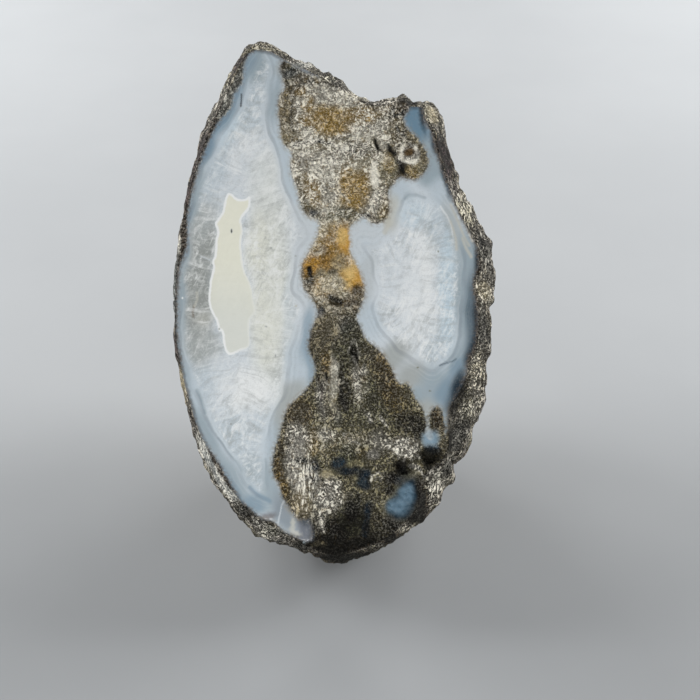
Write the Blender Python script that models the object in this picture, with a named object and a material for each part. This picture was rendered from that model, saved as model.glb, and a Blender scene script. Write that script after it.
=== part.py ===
"""Banded agate: a thick slice of an almond-shaped nodule, sawn flat on one side and polished.

Metres, +Z up. The polished face looks towards -Y and leans back. The natural skin behind it is
lumpy and chipped, and the stone rests on a small flat spot worn on its lower back.

The stone's own axes have their origin in the middle of the polished face: x to the right,
y up the face, z out of the face, so the stone lies where z is below zero.
"""
import math

import bmesh
import bpy
from mathutils import Matrix, Vector, noise

# Driving sizes
FACE_HEIGHT = 0.130
BACK_DEPTH = 0.068
SHOULDER_DEPTH = 0.010
FACE_SLOPE = math.radians(54.0)

# Where the middle of the polished face stands above the table
FACE_MIDDLE = Vector((-0.00025, -0.01525, 0.0708))

# Level of the worn spot, in world height
TABLE_HEIGHT = 0.0

# Outlines of the stone seen square on, clockwise from the tip, in steps of a 520th of its height
# across and down, counted from a corner that lies up and to the left of the stone
OUTLINE_STEP = FACE_HEIGHT / 520.0
OUTLINE_MIDDLE = (333.0, 303.0)

# The widest section of the nodule
WIDEST_OUTLINE = [
    (250, 44.5), (256, 43), (264, 44), (273, 46.5), (283, 50.5), (291, 54.5), (300, 59), (309, 63),
    (317, 68), (324, 71.5), (329, 71.5), (333, 77), (341, 79), (346, 84), (350, 90), (358, 95),
    (367, 99), (374, 101), (383, 99), (392, 97.5), (400, 95), (406, 94.5), (409, 98), (411, 103),
    (417, 102), (423, 101.5), (427, 99.5), (431, 101), (437, 108), (441, 116), (444, 123),
    (446, 133), (448, 143), (452, 156), (457, 171), (461, 186), (466, 196), (471, 204), (475, 217),
    (482, 226), (487, 236), (491, 241), (493, 253), (495, 268), (497, 281), (497, 292), (494, 301),
    (490, 307), (491, 318), (490, 335), (490, 351), (485, 357), (484, 366), (487, 374), (485, 384),
    (484, 397), (480, 409), (477, 420), (472, 425), (471, 434), (466, 446), (459, 455), (453, 458),
    (450, 458), (452, 467), (454.5, 475), (451, 481), (444, 485), (441, 492), (440, 500),
    (434, 505), (427, 510), (420, 519), (411, 526), (403, 534), (391, 542), (377, 551), (362, 558),
    (347, 562), (334, 563.5), (324, 561.5), (312, 556), (300, 550), (290, 545), (279, 538),
    (268, 534), (257, 527), (247, 520), (239, 512), (231, 502), (222, 492), (214, 479), (205, 464),
    (200, 450), (195, 436), (190, 420), (185, 400), (181, 384), (178, 368), (174, 352), (172, 335),
    (171.5, 310), (172, 288), (173, 270), (176, 256), (177, 243), (178, 230), (181, 212),
    (186, 191), (192, 169), (199, 147), (206, 130), (214, 111), (223, 91), (230, 76), (238, 60),
    (244, 51),
]

# The rim of the polished face
FACE_OUTLINE = [
    (252, 49), (262, 49.5), (272, 52), (283, 59), (296, 66), (309, 71), (321, 77), (330, 83),
    (342, 89), (352, 96), (365, 103), (376, 105), (388, 104), (398, 101), (405, 101), (409, 106),
    (417, 107), (423, 106), (425, 115), (428, 124), (433, 129), (437, 140), (440, 155), (444, 170),
    (448, 184), (452, 193), (457, 206), (464, 220), (471, 232), (478, 245), (481, 258), (481, 270),
    (476, 278), (475, 288), (478, 298), (480, 312), (480, 325), (478, 338), (477, 350), (471, 358),
    (469, 367), (470, 372), (466, 381), (461, 391), (456, 400), (451, 408), (449, 420), (449, 435),
    (449, 449), (446, 458), (440, 464), (430, 470), (424, 478), (421, 488), (420, 498), (418, 507),
    (412, 516), (404, 524), (394, 533), (380, 542), (364, 549), (348, 553), (334, 555), (322, 553),
    (308, 547), (297, 541.5), (286, 534), (274, 527), (262, 521), (251, 513), (243, 505),
    (236, 496), (227, 486), (219, 474), (211, 460), (206, 447), (200, 434), (194, 418), (189, 399),
    (184, 382), (181, 367), (178, 351), (175, 335), (174.5, 310), (175, 288), (176, 270),
    (179, 256), (180, 243), (181, 231), (184, 213), (189, 192), (195, 170), (202, 149), (209, 132),
    (217, 113), (226, 94), (233, 79), (241, 63), (247, 53),
]

# The widest section lies behind the face, and is this much wider than it looks from the front
WIDEST_SPREAD = 1.03

# Form of the back: how full the dome is, and where its middle lies behind the face
DOME_FULLNESS = 0.77
DOME_DRIFT = Vector((0.004, -0.018))
SHOULDER_SHARE = 0.20
RING_COUNT = 36
WIDEST_MERIDIAN_GAP = 0.0042

# The ragged outline of the widest section is evened out towards the back
SMOOTHING_STEP = math.radians(4.0)
SMOOTHING_REACH = 4
SMOOTHING_TURN = 0.35

# Natural skin: size across and height of each kind of relief
SWELL_SIZE, SWELL_HEIGHT = 0.040, 0.0026
LUMP_SIZE, LUMP_HEIGHT = 0.015, 0.0018
RIDGE_SIZE, RIDGE_HEIGHT = 0.0075, 0.0011
RIDGE_STRETCH = 2.6
PIT_SPACING, PIT_WIDTH, PIT_DEPTH = 0.014, 0.42, 0.0024
SKIN_START, SKIN_FULL = 0.002, 0.016
SKIN_CENTRE = 0.35
SKIN_SHIFT = Vector((3.1, 7.4, 1.9))

# Old breaks that flatten the back: which way each looks, and how deep it bites into the dome
BREAKS = [
    (Vector((0.72, 0.42, -0.55)), 0.0030),
    (Vector((-0.78, 0.10, -0.62)), 0.0032),
    (Vector((-0.30, 0.80, -0.52)), 0.0042),
    (Vector((0.62, -0.45, -0.64)), 0.0026),
    (Vector((0.22, 0.38, -0.90)), 0.0034),
    (Vector((-0.42, -0.52, -0.74)), 0.0022),
    (Vector((0.30, 0.86, -0.40)), 0.0030),
]
BREAK_SOFTNESS = 0.25
BREAK_BEARINGS, BREAK_RINGS = 72, 24

# Hollows in the brown crust of the polished face: middle across and up, half sizes, turn, depth
HOLLOWS = [
    ((404, 466), (0.0021, 0.0023), 0.3, 0.0022),
    ((430, 455), (0.0021, 0.0025), -0.2, 0.0022),
    ((354, 352), (0.0010, 0.0026), 0.1, 0.0018),
    ((336, 301), (0.0024, 0.0012), -0.3, 0.0016),
    ((391, 150), (0.0009, 0.0021), 0.6, 0.0016),
    ((377, 143), (0.0008, 0.0017), 0.3, 0.0014),
]


def remove_everything():
    """Empty the scene."""
    for thing in list(bpy.data.objects):
        bpy.data.objects.remove(thing, do_unlink=True)


def collection_named(name):
    """A collection in the scene, made when it isn't there."""
    group = bpy.data.collections.get(name) or bpy.data.collections.new(name)
    if group.name not in bpy.context.scene.collection.children:
        bpy.context.scene.collection.children.link(group)
    return group


def on_face(point):
    """Outline steps to metres across and up the face."""
    return Vector(((point[0] - OUTLINE_MIDDLE[0]) * OUTLINE_STEP,
                   (OUTLINE_MIDDLE[1] - point[1]) * OUTLINE_STEP))


def bearing_table(outline):
    """An outline as (bearing, distance from the middle), sorted by bearing."""
    table = []
    for point in outline:
        place = on_face(point)
        table.append((math.atan2(place.y, place.x), place.length))
    return sorted(table)


def distance_at(table, bearing):
    """Distance from the middle to a bearing_table outline, straight between its points."""
    first, last = table[0], table[-1]
    wrapped = [(last[0] - math.tau, last[1])] + table + [(first[0] + math.tau, first[1])]
    for (bearing_a, far_a), (bearing_b, far_b) in zip(wrapped, wrapped[1:]):
        if bearing_a <= bearing <= bearing_b:
            return edge_distance(bearing_a, far_a, bearing_b, far_b, bearing)
    return first[1]


def edge_distance(bearing_a, far_a, bearing_b, far_b, bearing):
    """Distance along a bearing to the straight edge between two outline points."""
    if bearing_b - bearing_a < 1e-9:
        return far_a
    across = far_a * math.sin(bearing - bearing_a) / far_b + math.sin(bearing_b - bearing)
    return far_a * math.sin(bearing_b - bearing_a) / across


def meridian_bearings(table):
    """One bearing through each outline point, and one more in each wide gap."""
    bearings = []
    following = table[1:] + [(table[0][0] + math.tau, table[0][1])]
    for (bearing_a, far_a), (bearing_b, far_b) in zip(table, following):
        gap = (bearing_b - bearing_a) * 0.5 * (far_a + far_b)
        pieces = max(1, round(gap / WIDEST_MERIDIAN_GAP))
        for piece in range(pieces):
            bearings.append(bearing_a + (bearing_b - bearing_a) * piece / pieces)
    return bearings


def smooth_step(low, high, value):
    """0 below low, 1 above high, and a smooth rise between them."""
    share = min(1.0, max(0.0, (value - low) / (high - low)))
    return share * share * (3.0 - 2.0 * share)


def meridian(bearing, rim, widest):
    """How far the nodule reaches along a bearing: rim, widest section, and that section smoothed."""
    rim_far = distance_at(rim, bearing)
    widest_far = max(rim_far, distance_at(widest, bearing)) * WIDEST_SPREAD
    nearby = [distance_at(widest, wrapped_bearing(bearing + step * SMOOTHING_STEP))
              for step in range(-SMOOTHING_REACH, SMOOTHING_REACH + 1)]
    smoothed_far = WIDEST_SPREAD * sum(nearby) / len(nearby)
    return rim_far, widest_far, smoothed_far


def wrapped_bearing(bearing):
    """The same bearing between minus pi and pi."""
    return (bearing + math.pi) % math.tau - math.pi


def smooth_body(bearing, reaches, level):
    """A point of the nodule without its skin relief; level is 0 at the rim, 1 at the back."""
    rim_far, widest_far, smoothed_far = reaches
    if level < SHOULDER_SHARE:
        turn = math.sin(0.5 * math.pi * level / SHOULDER_SHARE)
        far = rim_far + (widest_far - rim_far) * turn
        depth = SHOULDER_DEPTH * level / SHOULDER_SHARE
        drift = 0.0
    else:
        angle = 0.5 * math.pi * (level - SHOULDER_SHARE) / (1.0 - SHOULDER_SHARE)
        dome_far = widest_far + (smoothed_far - widest_far) * smooth_step(0.0, SMOOTHING_TURN, angle)
        far = dome_far * max(0.0, math.cos(angle)) ** DOME_FULLNESS
        depth = SHOULDER_DEPTH + (BACK_DEPTH - SHOULDER_DEPTH) * math.sin(angle) ** DOME_FULLNESS
        drift = math.sin(angle) ** 2
    return Vector((far * math.cos(bearing) + DOME_DRIFT.x * drift,
                   far * math.sin(bearing) + DOME_DRIFT.y * drift,
                   -depth))


def break_planes(rim, widest):
    """Each break as its outward direction and its distance from the middle of the face."""
    points = []
    for turn in range(BREAK_BEARINGS):
        bearing = wrapped_bearing(math.tau * turn / BREAK_BEARINGS)
        reaches = meridian(bearing, rim, widest)
        points += [smooth_body(bearing, reaches, ring / BREAK_RINGS) for ring in range(BREAK_RINGS + 1)]
    planes = []
    for looks, bite in BREAKS:
        outward = looks.normalized()
        planes.append((outward, max(point.dot(outward) for point in points) - bite))
    return planes


def skin_height(place):
    """Height of the natural skin over the smooth body: swells, lumps, upright ridges and pits."""
    swell = SWELL_HEIGHT * noise.noise(place / SWELL_SIZE + SKIN_SHIFT)
    lump = LUMP_HEIGHT * noise.noise(place / LUMP_SIZE - SKIN_SHIFT)
    along = Vector((place.x, place.y / RIDGE_STRETCH, place.z)) / RIDGE_SIZE
    ridge = RIDGE_HEIGHT * (1.0 - 2.0 * abs(noise.noise(along + SKIN_SHIFT)))
    nearest = noise.voronoi(place / PIT_SPACING + SKIN_SHIFT)[0][0]
    pit = PIT_DEPTH * smooth_step(0.0, 1.0, 1.0 - nearest / PIT_WIDTH)
    return swell + lump + ridge - pit


def with_skin(place, planes):
    """Move a point of the smooth body to the natural skin: back to the breaks, then relief."""
    fade = smooth_step(SKIN_START, SKIN_FULL, -place.z)
    for outward, far in planes:
        over = place.dot(outward) - far
        if over > 0.0:
            place = place - outward * over * (1.0 - BREAK_SOFTNESS) * fade
    outward = (place - Vector((0.0, 0.0, -BACK_DEPTH * SKIN_CENTRE))).normalized()
    return place + outward * skin_height(place) * fade


def nodule_mesh():
    """The sawn nodule: half a globe drawn out to the outlines, with a flat face."""
    rim = bearing_table(FACE_OUTLINE)
    widest = bearing_table(WIDEST_OUTLINE)
    planes = break_planes(rim, widest)
    bearings = meridian_bearings(widest)
    reaches = [meridian(wrapped_bearing(bearing), rim, widest) for bearing in bearings]
    bm = bmesh.new()
    bmesh.ops.create_uvsphere(bm, u_segments=len(bearings), v_segments=2 * RING_COUNT, radius=1.0)
    bmesh.ops.bisect_plane(bm, geom=bm.verts[:] + bm.edges[:] + bm.faces[:], dist=1e-5,
                           plane_co=(0.0, 0.0, 0.0), plane_no=(0.0, 0.0, 1.0), clear_outer=True)
    for vert in bm.verts:
        turn = math.atan2(vert.co.y, vert.co.x) % math.tau
        index = round(turn / math.tau * len(bearings)) % len(bearings)
        level = math.asin(min(1.0, max(0.0, -vert.co.z))) / (0.5 * math.pi)
        vert.co = with_skin(smooth_body(bearings[index], reaches[index], level), planes)
    open_edges = [edge for edge in bm.edges if edge.is_boundary]
    bmesh.ops.holes_fill(bm, edges=open_edges, sides=0)
    return bm


def wear_flat_spot(bm, placing):
    """Take off what lies below the table, which leaves the flat spot that the stone rests on."""
    to_stone = placing.inverted()
    up = (to_stone.to_3x3() @ Vector((0.0, 0.0, 1.0))).normalized()
    low = to_stone @ Vector((0.0, 0.0, TABLE_HEIGHT))
    cut = bmesh.ops.bisect_plane(bm, geom=bm.verts[:] + bm.edges[:] + bm.faces[:], dist=1e-5,
                                 plane_co=low, plane_no=up, clear_inner=True)
    cut_edges = [part for part in cut["geom_cut"] if isinstance(part, bmesh.types.BMEdge)]
    bmesh.ops.holes_fill(bm, edges=cut_edges, sides=0)


def hollow_cutter(index, centre, half_sizes, turn, depth, group, stone):
    """A small lens that cuts one hollow into the polished face."""
    bm = bmesh.new()
    bmesh.ops.create_icosphere(bm, subdivisions=2, radius=1.0)
    place = on_face(centre)
    shape = (Matrix.Translation((place.x, place.y, 0.0)) @ Matrix.Rotation(turn, 4, "Z")
             @ Matrix.Diagonal((half_sizes[0], half_sizes[1], depth, 1.0)))
    bmesh.ops.transform(bm, matrix=shape, verts=bm.verts[:])
    mesh = bpy.data.meshes.new(f"hollow_{index}")
    bm.to_mesh(mesh)
    bm.free()
    cutter = bpy.data.objects.new(f"hollow_{index}", mesh)
    cutter.parent = stone
    cutter.hide_render = True
    cutter.display_type = "WIRE"
    group.objects.link(cutter)
    return cutter


def stone_material():
    """Milky blue-grey polished agate."""
    material = bpy.data.materials.new("polished_agate")
    material.use_nodes = True
    shader = material.node_tree.nodes["Principled BSDF"]
    shader.inputs["Base Color"].default_value = (0.52, 0.58, 0.60, 1.0)
    shader.inputs["Roughness"].default_value = 0.35
    shader.inputs["Metallic"].default_value = 0.0
    material.diffuse_color = (0.52, 0.58, 0.60, 1.0)
    return material


def build():
    """Make the stone, worn flat below and hollowed on its face."""
    remove_everything()
    stones = collection_named("Banded agate")
    cutters = collection_named("Cutters")
    placing = Matrix.Translation(FACE_MIDDLE) @ Matrix.Rotation(FACE_SLOPE, 4, "X")

    bm = nodule_mesh()
    wear_flat_spot(bm, placing)
    bmesh.ops.recalc_face_normals(bm, faces=bm.faces[:])
    mesh = bpy.data.meshes.new("banded_agate")
    bm.to_mesh(mesh)
    bm.free()
    mesh.materials.append(stone_material())

    stone = bpy.data.objects.new("banded_agate", mesh)
    stone.location = FACE_MIDDLE
    stone.rotation_euler = (FACE_SLOPE, 0.0, 0.0)
    stones.objects.link(stone)
    mesh.shade_smooth()
    mesh.set_sharp_from_angle(angle=math.radians(40.0))

    for index, (centre, half_sizes, turn, depth) in enumerate(HOLLOWS, start=1):
        cutter = hollow_cutter(index, centre, half_sizes, turn, depth, cutters, stone)
        cut = stone.modifiers.new(f"hollow_{index}", "BOOLEAN")
        cut.operation = "DIFFERENCE"
        cut.solver = "EXACT"
        cut.object = cutter
    return stone


build()
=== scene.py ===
"""Banded agate: the looks of its polished face and natural crust, with a plain floor, light and camera.

Metres, +Z up. The stone's own axes have their origin in the middle of the polished face: x to the
right, y up the face, z out of the face. Places on the face are given in steps of a quarter
millimetre, across and down, as one pixel of the photograph shows them.
"""
import math

import bmesh
import bpy
import numpy as np
from mathutils import Matrix, Vector, geometry, noise


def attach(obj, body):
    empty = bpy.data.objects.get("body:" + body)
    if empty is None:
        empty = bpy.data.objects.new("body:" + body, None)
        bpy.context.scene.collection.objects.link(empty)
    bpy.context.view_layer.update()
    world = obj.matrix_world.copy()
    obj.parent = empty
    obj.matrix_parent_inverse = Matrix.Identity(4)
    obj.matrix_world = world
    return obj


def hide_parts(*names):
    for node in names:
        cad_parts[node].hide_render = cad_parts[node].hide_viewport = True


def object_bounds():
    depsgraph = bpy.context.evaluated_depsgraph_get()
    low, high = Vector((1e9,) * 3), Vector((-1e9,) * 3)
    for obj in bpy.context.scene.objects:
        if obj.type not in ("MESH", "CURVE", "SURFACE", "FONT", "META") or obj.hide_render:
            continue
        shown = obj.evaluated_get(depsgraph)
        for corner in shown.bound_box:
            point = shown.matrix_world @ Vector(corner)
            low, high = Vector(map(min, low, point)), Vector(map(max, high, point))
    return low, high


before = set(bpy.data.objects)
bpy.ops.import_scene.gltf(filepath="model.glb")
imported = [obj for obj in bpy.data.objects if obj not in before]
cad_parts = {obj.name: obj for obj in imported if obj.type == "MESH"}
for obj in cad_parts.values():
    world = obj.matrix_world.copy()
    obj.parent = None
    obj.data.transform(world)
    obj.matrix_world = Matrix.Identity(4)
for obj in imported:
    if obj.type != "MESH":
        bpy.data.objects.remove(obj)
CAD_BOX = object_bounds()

# Driving sizes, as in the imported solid
FACE_HEIGHT = 0.130
BACK_DEPTH = 0.068
SHOULDER_DEPTH = 0.010
FACE_SLOPE = math.radians(54.0)
FACE_MIDDLE = Vector((-0.00025, -0.01525, 0.0708))
OUTLINE_STEP = FACE_HEIGHT / 520.0
OUTLINE_MIDDLE = (333.0, 303.0)

WIDEST_OUTLINE = [
    (250, 44.5), (256, 43), (264, 44), (273, 46.5), (283, 50.5), (291, 54.5), (300, 59), (309, 63),
    (317, 68), (324, 71.5), (329, 71.5), (333, 77), (341, 79), (346, 84), (350, 90), (358, 95),
    (367, 99), (374, 101), (383, 99), (392, 97.5), (400, 95), (406, 94.5), (409, 98), (411, 103),
    (417, 102), (423, 101.5), (427, 99.5), (431, 101), (437, 108), (441, 116), (444, 123),
    (446, 133), (448, 143), (452, 156), (457, 171), (461, 186), (466, 196), (471, 204), (475, 217),
    (482, 226), (487, 236), (491, 241), (493, 253), (495, 268), (497, 281), (497, 292), (494, 301),
    (490, 307), (491, 318), (490, 335), (490, 351), (485, 357), (484, 366), (487, 374), (485, 384),
    (484, 397), (480, 409), (477, 420), (472, 425), (471, 434), (466, 446), (459, 455), (453, 458),
    (450, 458), (452, 467), (454.5, 475), (451, 481), (444, 485), (441, 492), (440, 500),
    (434, 505), (427, 510), (420, 519), (411, 526), (403, 534), (391, 542), (377, 551), (362, 558),
    (347, 562), (334, 563.5), (324, 561.5), (312, 556), (300, 550), (290, 545), (279, 538),
    (268, 534), (257, 527), (247, 520), (239, 512), (231, 502), (222, 492), (214, 479), (205, 464),
    (200, 450), (195, 436), (190, 420), (185, 400), (181, 384), (178, 368), (174, 352), (172, 335),
    (171.5, 310), (172, 288), (173, 270), (176, 256), (177, 243), (178, 230), (181, 212),
    (186, 191), (192, 169), (199, 147), (206, 130), (214, 111), (223, 91), (230, 76), (238, 60),
    (244, 51),
]
FACE_OUTLINE = [
    (252, 49), (262, 49.5), (272, 52), (283, 59), (296, 66), (309, 71), (321, 77), (330, 83),
    (342, 89), (352, 96), (365, 103), (376, 105), (388, 104), (398, 101), (405, 101), (409, 106),
    (417, 107), (423, 106), (425, 115), (428, 124), (433, 129), (437, 140), (440, 155), (444, 170),
    (448, 184), (452, 193), (457, 206), (464, 220), (471, 232), (478, 245), (481, 258), (481, 270),
    (476, 278), (475, 288), (478, 298), (480, 312), (480, 325), (478, 338), (477, 350), (471, 358),
    (469, 367), (470, 372), (466, 381), (461, 391), (456, 400), (451, 408), (449, 420), (449, 435),
    (449, 449), (446, 458), (440, 464), (430, 470), (424, 478), (421, 488), (420, 498), (418, 507),
    (412, 516), (404, 524), (394, 533), (380, 542), (364, 549), (348, 553), (334, 555), (322, 553),
    (308, 547), (297, 541.5), (286, 534), (274, 527), (262, 521), (251, 513), (243, 505),
    (236, 496), (227, 486), (219, 474), (211, 460), (206, 447), (200, 434), (194, 418), (189, 399),
    (184, 382), (181, 367), (178, 351), (175, 335), (174.5, 310), (175, 288), (176, 270),
    (179, 256), (180, 243), (181, 231), (184, 213), (189, 192), (195, 170), (202, 149), (209, 132),
    (217, 113), (226, 94), (233, 79), (241, 63), (247, 53),
]
WIDEST_SPREAD = 1.03
DOME_FULLNESS = 0.77
DOME_DRIFT = Vector((0.004, -0.018))
SHOULDER_SHARE = 0.20
SMOOTHING_STEP = math.radians(4.0)
SMOOTHING_REACH = 4
SMOOTHING_TURN = 0.35
SWELL_SIZE, SWELL_HEIGHT = 0.040, 0.0026
LUMP_SIZE, LUMP_HEIGHT = 0.015, 0.0018
RIDGE_SIZE, RIDGE_HEIGHT = 0.0075, 0.0011
RIDGE_STRETCH = 2.6
PIT_SPACING, PIT_WIDTH, PIT_DEPTH = 0.014, 0.42, 0.0024
SKIN_START, SKIN_FULL = 0.002, 0.016
SKIN_CENTRE = 0.35
SKIN_SHIFT = Vector((3.1, 7.4, 1.9))

# Broken places, as the way each looks outward and how deep it bites
BREAKS = [
    (Vector((0.72, 0.42, -0.55)), 0.0030),
    (Vector((-0.78, 0.10, -0.62)), 0.0032),
    (Vector((-0.30, 0.80, -0.52)), 0.0042),
    (Vector((0.62, -0.45, -0.64)), 0.0026),
    (Vector((0.22, 0.38, -0.90)), 0.0034),
    (Vector((-0.42, -0.52, -0.74)), 0.0022),
    (Vector((0.30, 0.86, -0.40)), 0.0030),
]
BREAK_SOFTNESS = 0.25
BREAK_BEARINGS, BREAK_RINGS = 72, 24

# Hollows of the polished crust: place, half width and half height, turn, depth
HOLLOWS = [
    ((404, 466), (0.0021, 0.0023), 0.3, 0.0022),
    ((430, 455), (0.0021, 0.0025), -0.2, 0.0022),
    ((354, 352), (0.0010, 0.0026), 0.1, 0.0018),
    ((336, 301), (0.0024, 0.0012), -0.3, 0.0016),
    ((391, 150), (0.0009, 0.0021), 0.6, 0.0016),
    ((377, 143), (0.0008, 0.0017), 0.3, 0.0014),
]

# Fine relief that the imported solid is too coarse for, of the natural skin and of the polished crust
GRIT_SIZE, GRIT_DEPTH, GRIT_START = 0.0032, 0.0007, 0.0004
FLAKE_SIZE, FLAKE_DEPTH = 0.0013, 0.00035
POCK_SPACING, POCK_WIDTH, POCK_DEPTH = 0.0046, 0.40, 0.0009
CRUST_LEVEL, CRUST_DEPTH = 0.16, 0.0011
CRUST_START, CRUST_WALL, CRUST_RIM = 0.0004, 0.0012, 0.0010
CLUMP_SIZE, CLUMP_SHARE = 0.0045, 0.20
THREAD_SIZE, THREAD_SHARE, THREAD_SHARPNESS = 0.0017, 0.34, 2.2
GRAIN_SIZE, GRAIN_SHARE = 0.0008, 0.16

# How strongly a hollow is shaded: at least, in a pock, and by height and depth
SHADE_LEVEL, SHADE_PER_POCK = 0.10, 0.5
SHADE_HEIGHT, SHADE_DEPTH, CRUST_SHADE_DEPTH = 0.004, 0.0030, 0.0006

# Fineness of the visible mesh
BEARING_COUNT = 600
RING_COUNT = 84
FACE_SPACING = 0.00070
CRUST_SPACING = 0.00038
DRAWN_SPACING = 0.00026
DRAWN_REACH = 0.0007
RIM_CLEARANCE = 0.00030
COARSE_START, MIDDLE_END = 0.8 * FACE_SPACING, 0.6 * FACE_SPACING
GRID_REACH = (0.045, 0.070)
GRID_ROW, GRID_JITTER = 0.866, 0.18
MESH_SEED = 20
SHARP_ANGLE = math.radians(50.0)

# Outlines on the polished face: the two agate lobes, their quartz fillings and the cream core
LEFT_LOBE = [
    (252, 50), (258, 48), (268, 49), (277, 52), (287, 58), (298, 64), (308, 69), (318, 75),
    (324, 79), (316, 78), (306, 74), (297, 69), (288, 64), (283, 61), (281, 68), (282, 76),
    (285, 82), (287, 88), (283, 92), (280, 97), (279, 112), (281, 122), (281, 132), (283, 140),
    (287, 147), (294, 151), (292, 162), (292, 172), (295, 181), (299, 190), (301, 202), (304, 211),
    (310, 217), (318, 218), (321, 224), (320, 231), (317, 239), (313, 247), (308, 255), (303, 263),
    (302, 270), (303, 278), (304, 286), (309, 294), (314, 300), (318, 308), (319, 314), (316, 322),
    (312, 330), (310, 339), (309, 346), (311, 353), (315, 361), (317, 370), (315, 378), (311, 385),
    (306, 391), (299, 398), (292, 404), (287, 411), (284, 420), (282, 430), (279, 439), (276, 447),
    (274, 457), (273, 467), (275, 477), (280, 482), (282, 491), (284, 498), (289, 505), (294, 512),
    (299, 519), (306, 516), (313, 522), (316, 534), (313, 543), (304, 543), (296, 540), (288, 536),
    (279, 530), (273, 522), (266, 521), (259, 519), (252, 512), (246, 507), (240, 503), (236, 496),
    (231, 487), (226, 478), (221, 470), (216, 461), (211, 454), (205, 446), (200, 438), (196, 430),
    (193, 420), (190, 408), (187, 397), (183, 386), (181, 376), (180, 364), (178, 354), (176, 342),
    (175, 328), (176, 316), (175, 304), (176, 290), (177, 278), (178, 266), (182, 257), (185, 249),
    (186, 238), (186, 226), (186, 214), (188, 203), (191, 190), (194, 178), (197, 168), (200, 159),
    (203, 151), (207, 142), (211, 132), (216, 123), (221, 116), (227, 111), (231, 105), (232, 94),
    (236, 88), (241, 83), (242, 74), (242, 66), (245, 58), (248, 53),
]
RIGHT_LOBE = [
    (411, 104), (417, 103), (423, 104), (424, 112), (426, 121), (431, 128), (434, 136), (437, 146),
    (439, 156), (443, 168), (447, 180), (451, 190), (455, 200), (459, 211), (465, 222), (471, 233),
    (477, 244), (480, 257), (480, 268), (475, 277), (474, 288), (477, 299), (479, 312), (479, 324),
    (477, 338), (476, 348), (470, 357), (468, 367), (468, 374), (465, 382), (460, 391), (455, 400),
    (450, 409), (449, 422), (448, 436), (444, 440), (444, 426), (442, 413), (438, 407), (433, 409),
    (430, 418), (430, 428), (434, 433), (434, 441), (428, 441), (424, 434), (426, 424), (424, 413),
    (419, 405), (413, 397), (410, 389), (407, 384), (401, 386), (395, 381), (393, 373), (389, 366),
    (384, 358), (379, 351), (372, 345), (364, 339), (361, 331), (359, 324), (354, 319), (358, 311),
    (361, 303), (364, 295), (363, 285), (360, 276), (357, 268), (352, 260), (348, 251), (349, 242),
    (347, 233), (348, 226), (355, 221), (361, 216), (366, 216), (371, 222), (379, 223), (387, 217),
    (389, 208), (387, 196), (388, 188), (394, 182), (400, 175), (407, 178), (415, 179), (423, 173),
    (427, 165), (427, 156), (423, 148), (417, 139), (409, 132), (404, 126), (402, 119), (406, 111),
]
LEFT_QUARTZ = [
    (264, 52), (269, 58), (270, 68), (268, 80), (267, 96), (266, 112), (265, 122), (268, 132),
    (272, 142), (275, 154), (278, 166), (282, 180), (286, 194), (289, 207), (294, 219), (301, 228),
    (306, 234), (303, 240), (297, 247), (294, 258), (293, 270), (292, 282), (293, 294), (298, 302),
    (302, 309), (301, 315), (296, 321), (292, 331), (290, 342), (289, 356), (288, 370), (286, 381),
    (282, 391), (277, 401), (272, 412), (269, 424), (267, 436), (265, 448), (263, 462), (263, 474),
    (265, 484), (267, 494), (264, 495), (257, 490), (249, 483), (242, 474), (236, 463), (230, 453),
    (224, 443), (217, 433), (210, 421), (205, 410), (202, 399), (196, 390), (192, 380), (189, 368),
    (185, 355), (183, 342), (181, 326), (181, 310), (182, 294), (182, 278), (184, 264), (188, 252),
    (190, 240), (191, 224), (193, 210), (197, 198), (201, 184), (205, 171), (209, 160), (215, 149),
    (222, 139), (229, 127), (236, 115), (242, 106), (247, 94), (250, 82), (253, 72), (257, 61),
]
RIGHT_QUARTZ = [
    (404, 199), (410, 195), (418, 195), (426, 198), (434, 200), (441, 204), (447, 214), (452, 226),
    (458, 238), (462, 252), (463, 268), (462, 284), (460, 300), (459, 316), (458, 332), (455, 346),
    (449, 358), (441, 366), (431, 369), (421, 364), (411, 356), (401, 351), (392, 342), (386, 334),
    (380, 326), (375, 317), (374, 308), (378, 298), (379, 288), (377, 276), (373, 264), (367, 254),
    (363, 247), (365, 243), (375, 243), (386, 240), (395, 235), (400, 226), (401, 213),
]
CREAM_CORE = [
    (228, 193), (232, 194), (236, 199), (242, 200), (247, 199), (250, 196), (250, 203), (249, 209),
    (245, 213), (241, 218), (241, 224), (243, 230), (241, 238), (241, 248), (242, 258), (243, 267),
    (246, 275), (250, 283), (252, 292), (253, 301), (255, 308), (255, 313), (251, 317), (249, 321),
    (249, 332), (250, 343), (248, 348), (241, 350), (235, 353), (230, 355), (226, 352), (224, 345),
    (223, 336), (222, 330), (219, 331), (218, 326), (217, 321), (214, 316), (211, 310), (209, 303),
    (209, 294), (210, 285), (211, 278), (213, 271), (214, 266), (212, 262), (215, 257), (216, 248),
    (216, 240), (218, 233), (217, 228), (215, 224), (218, 219), (222, 214), (224, 208), (225, 200),
]

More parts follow.
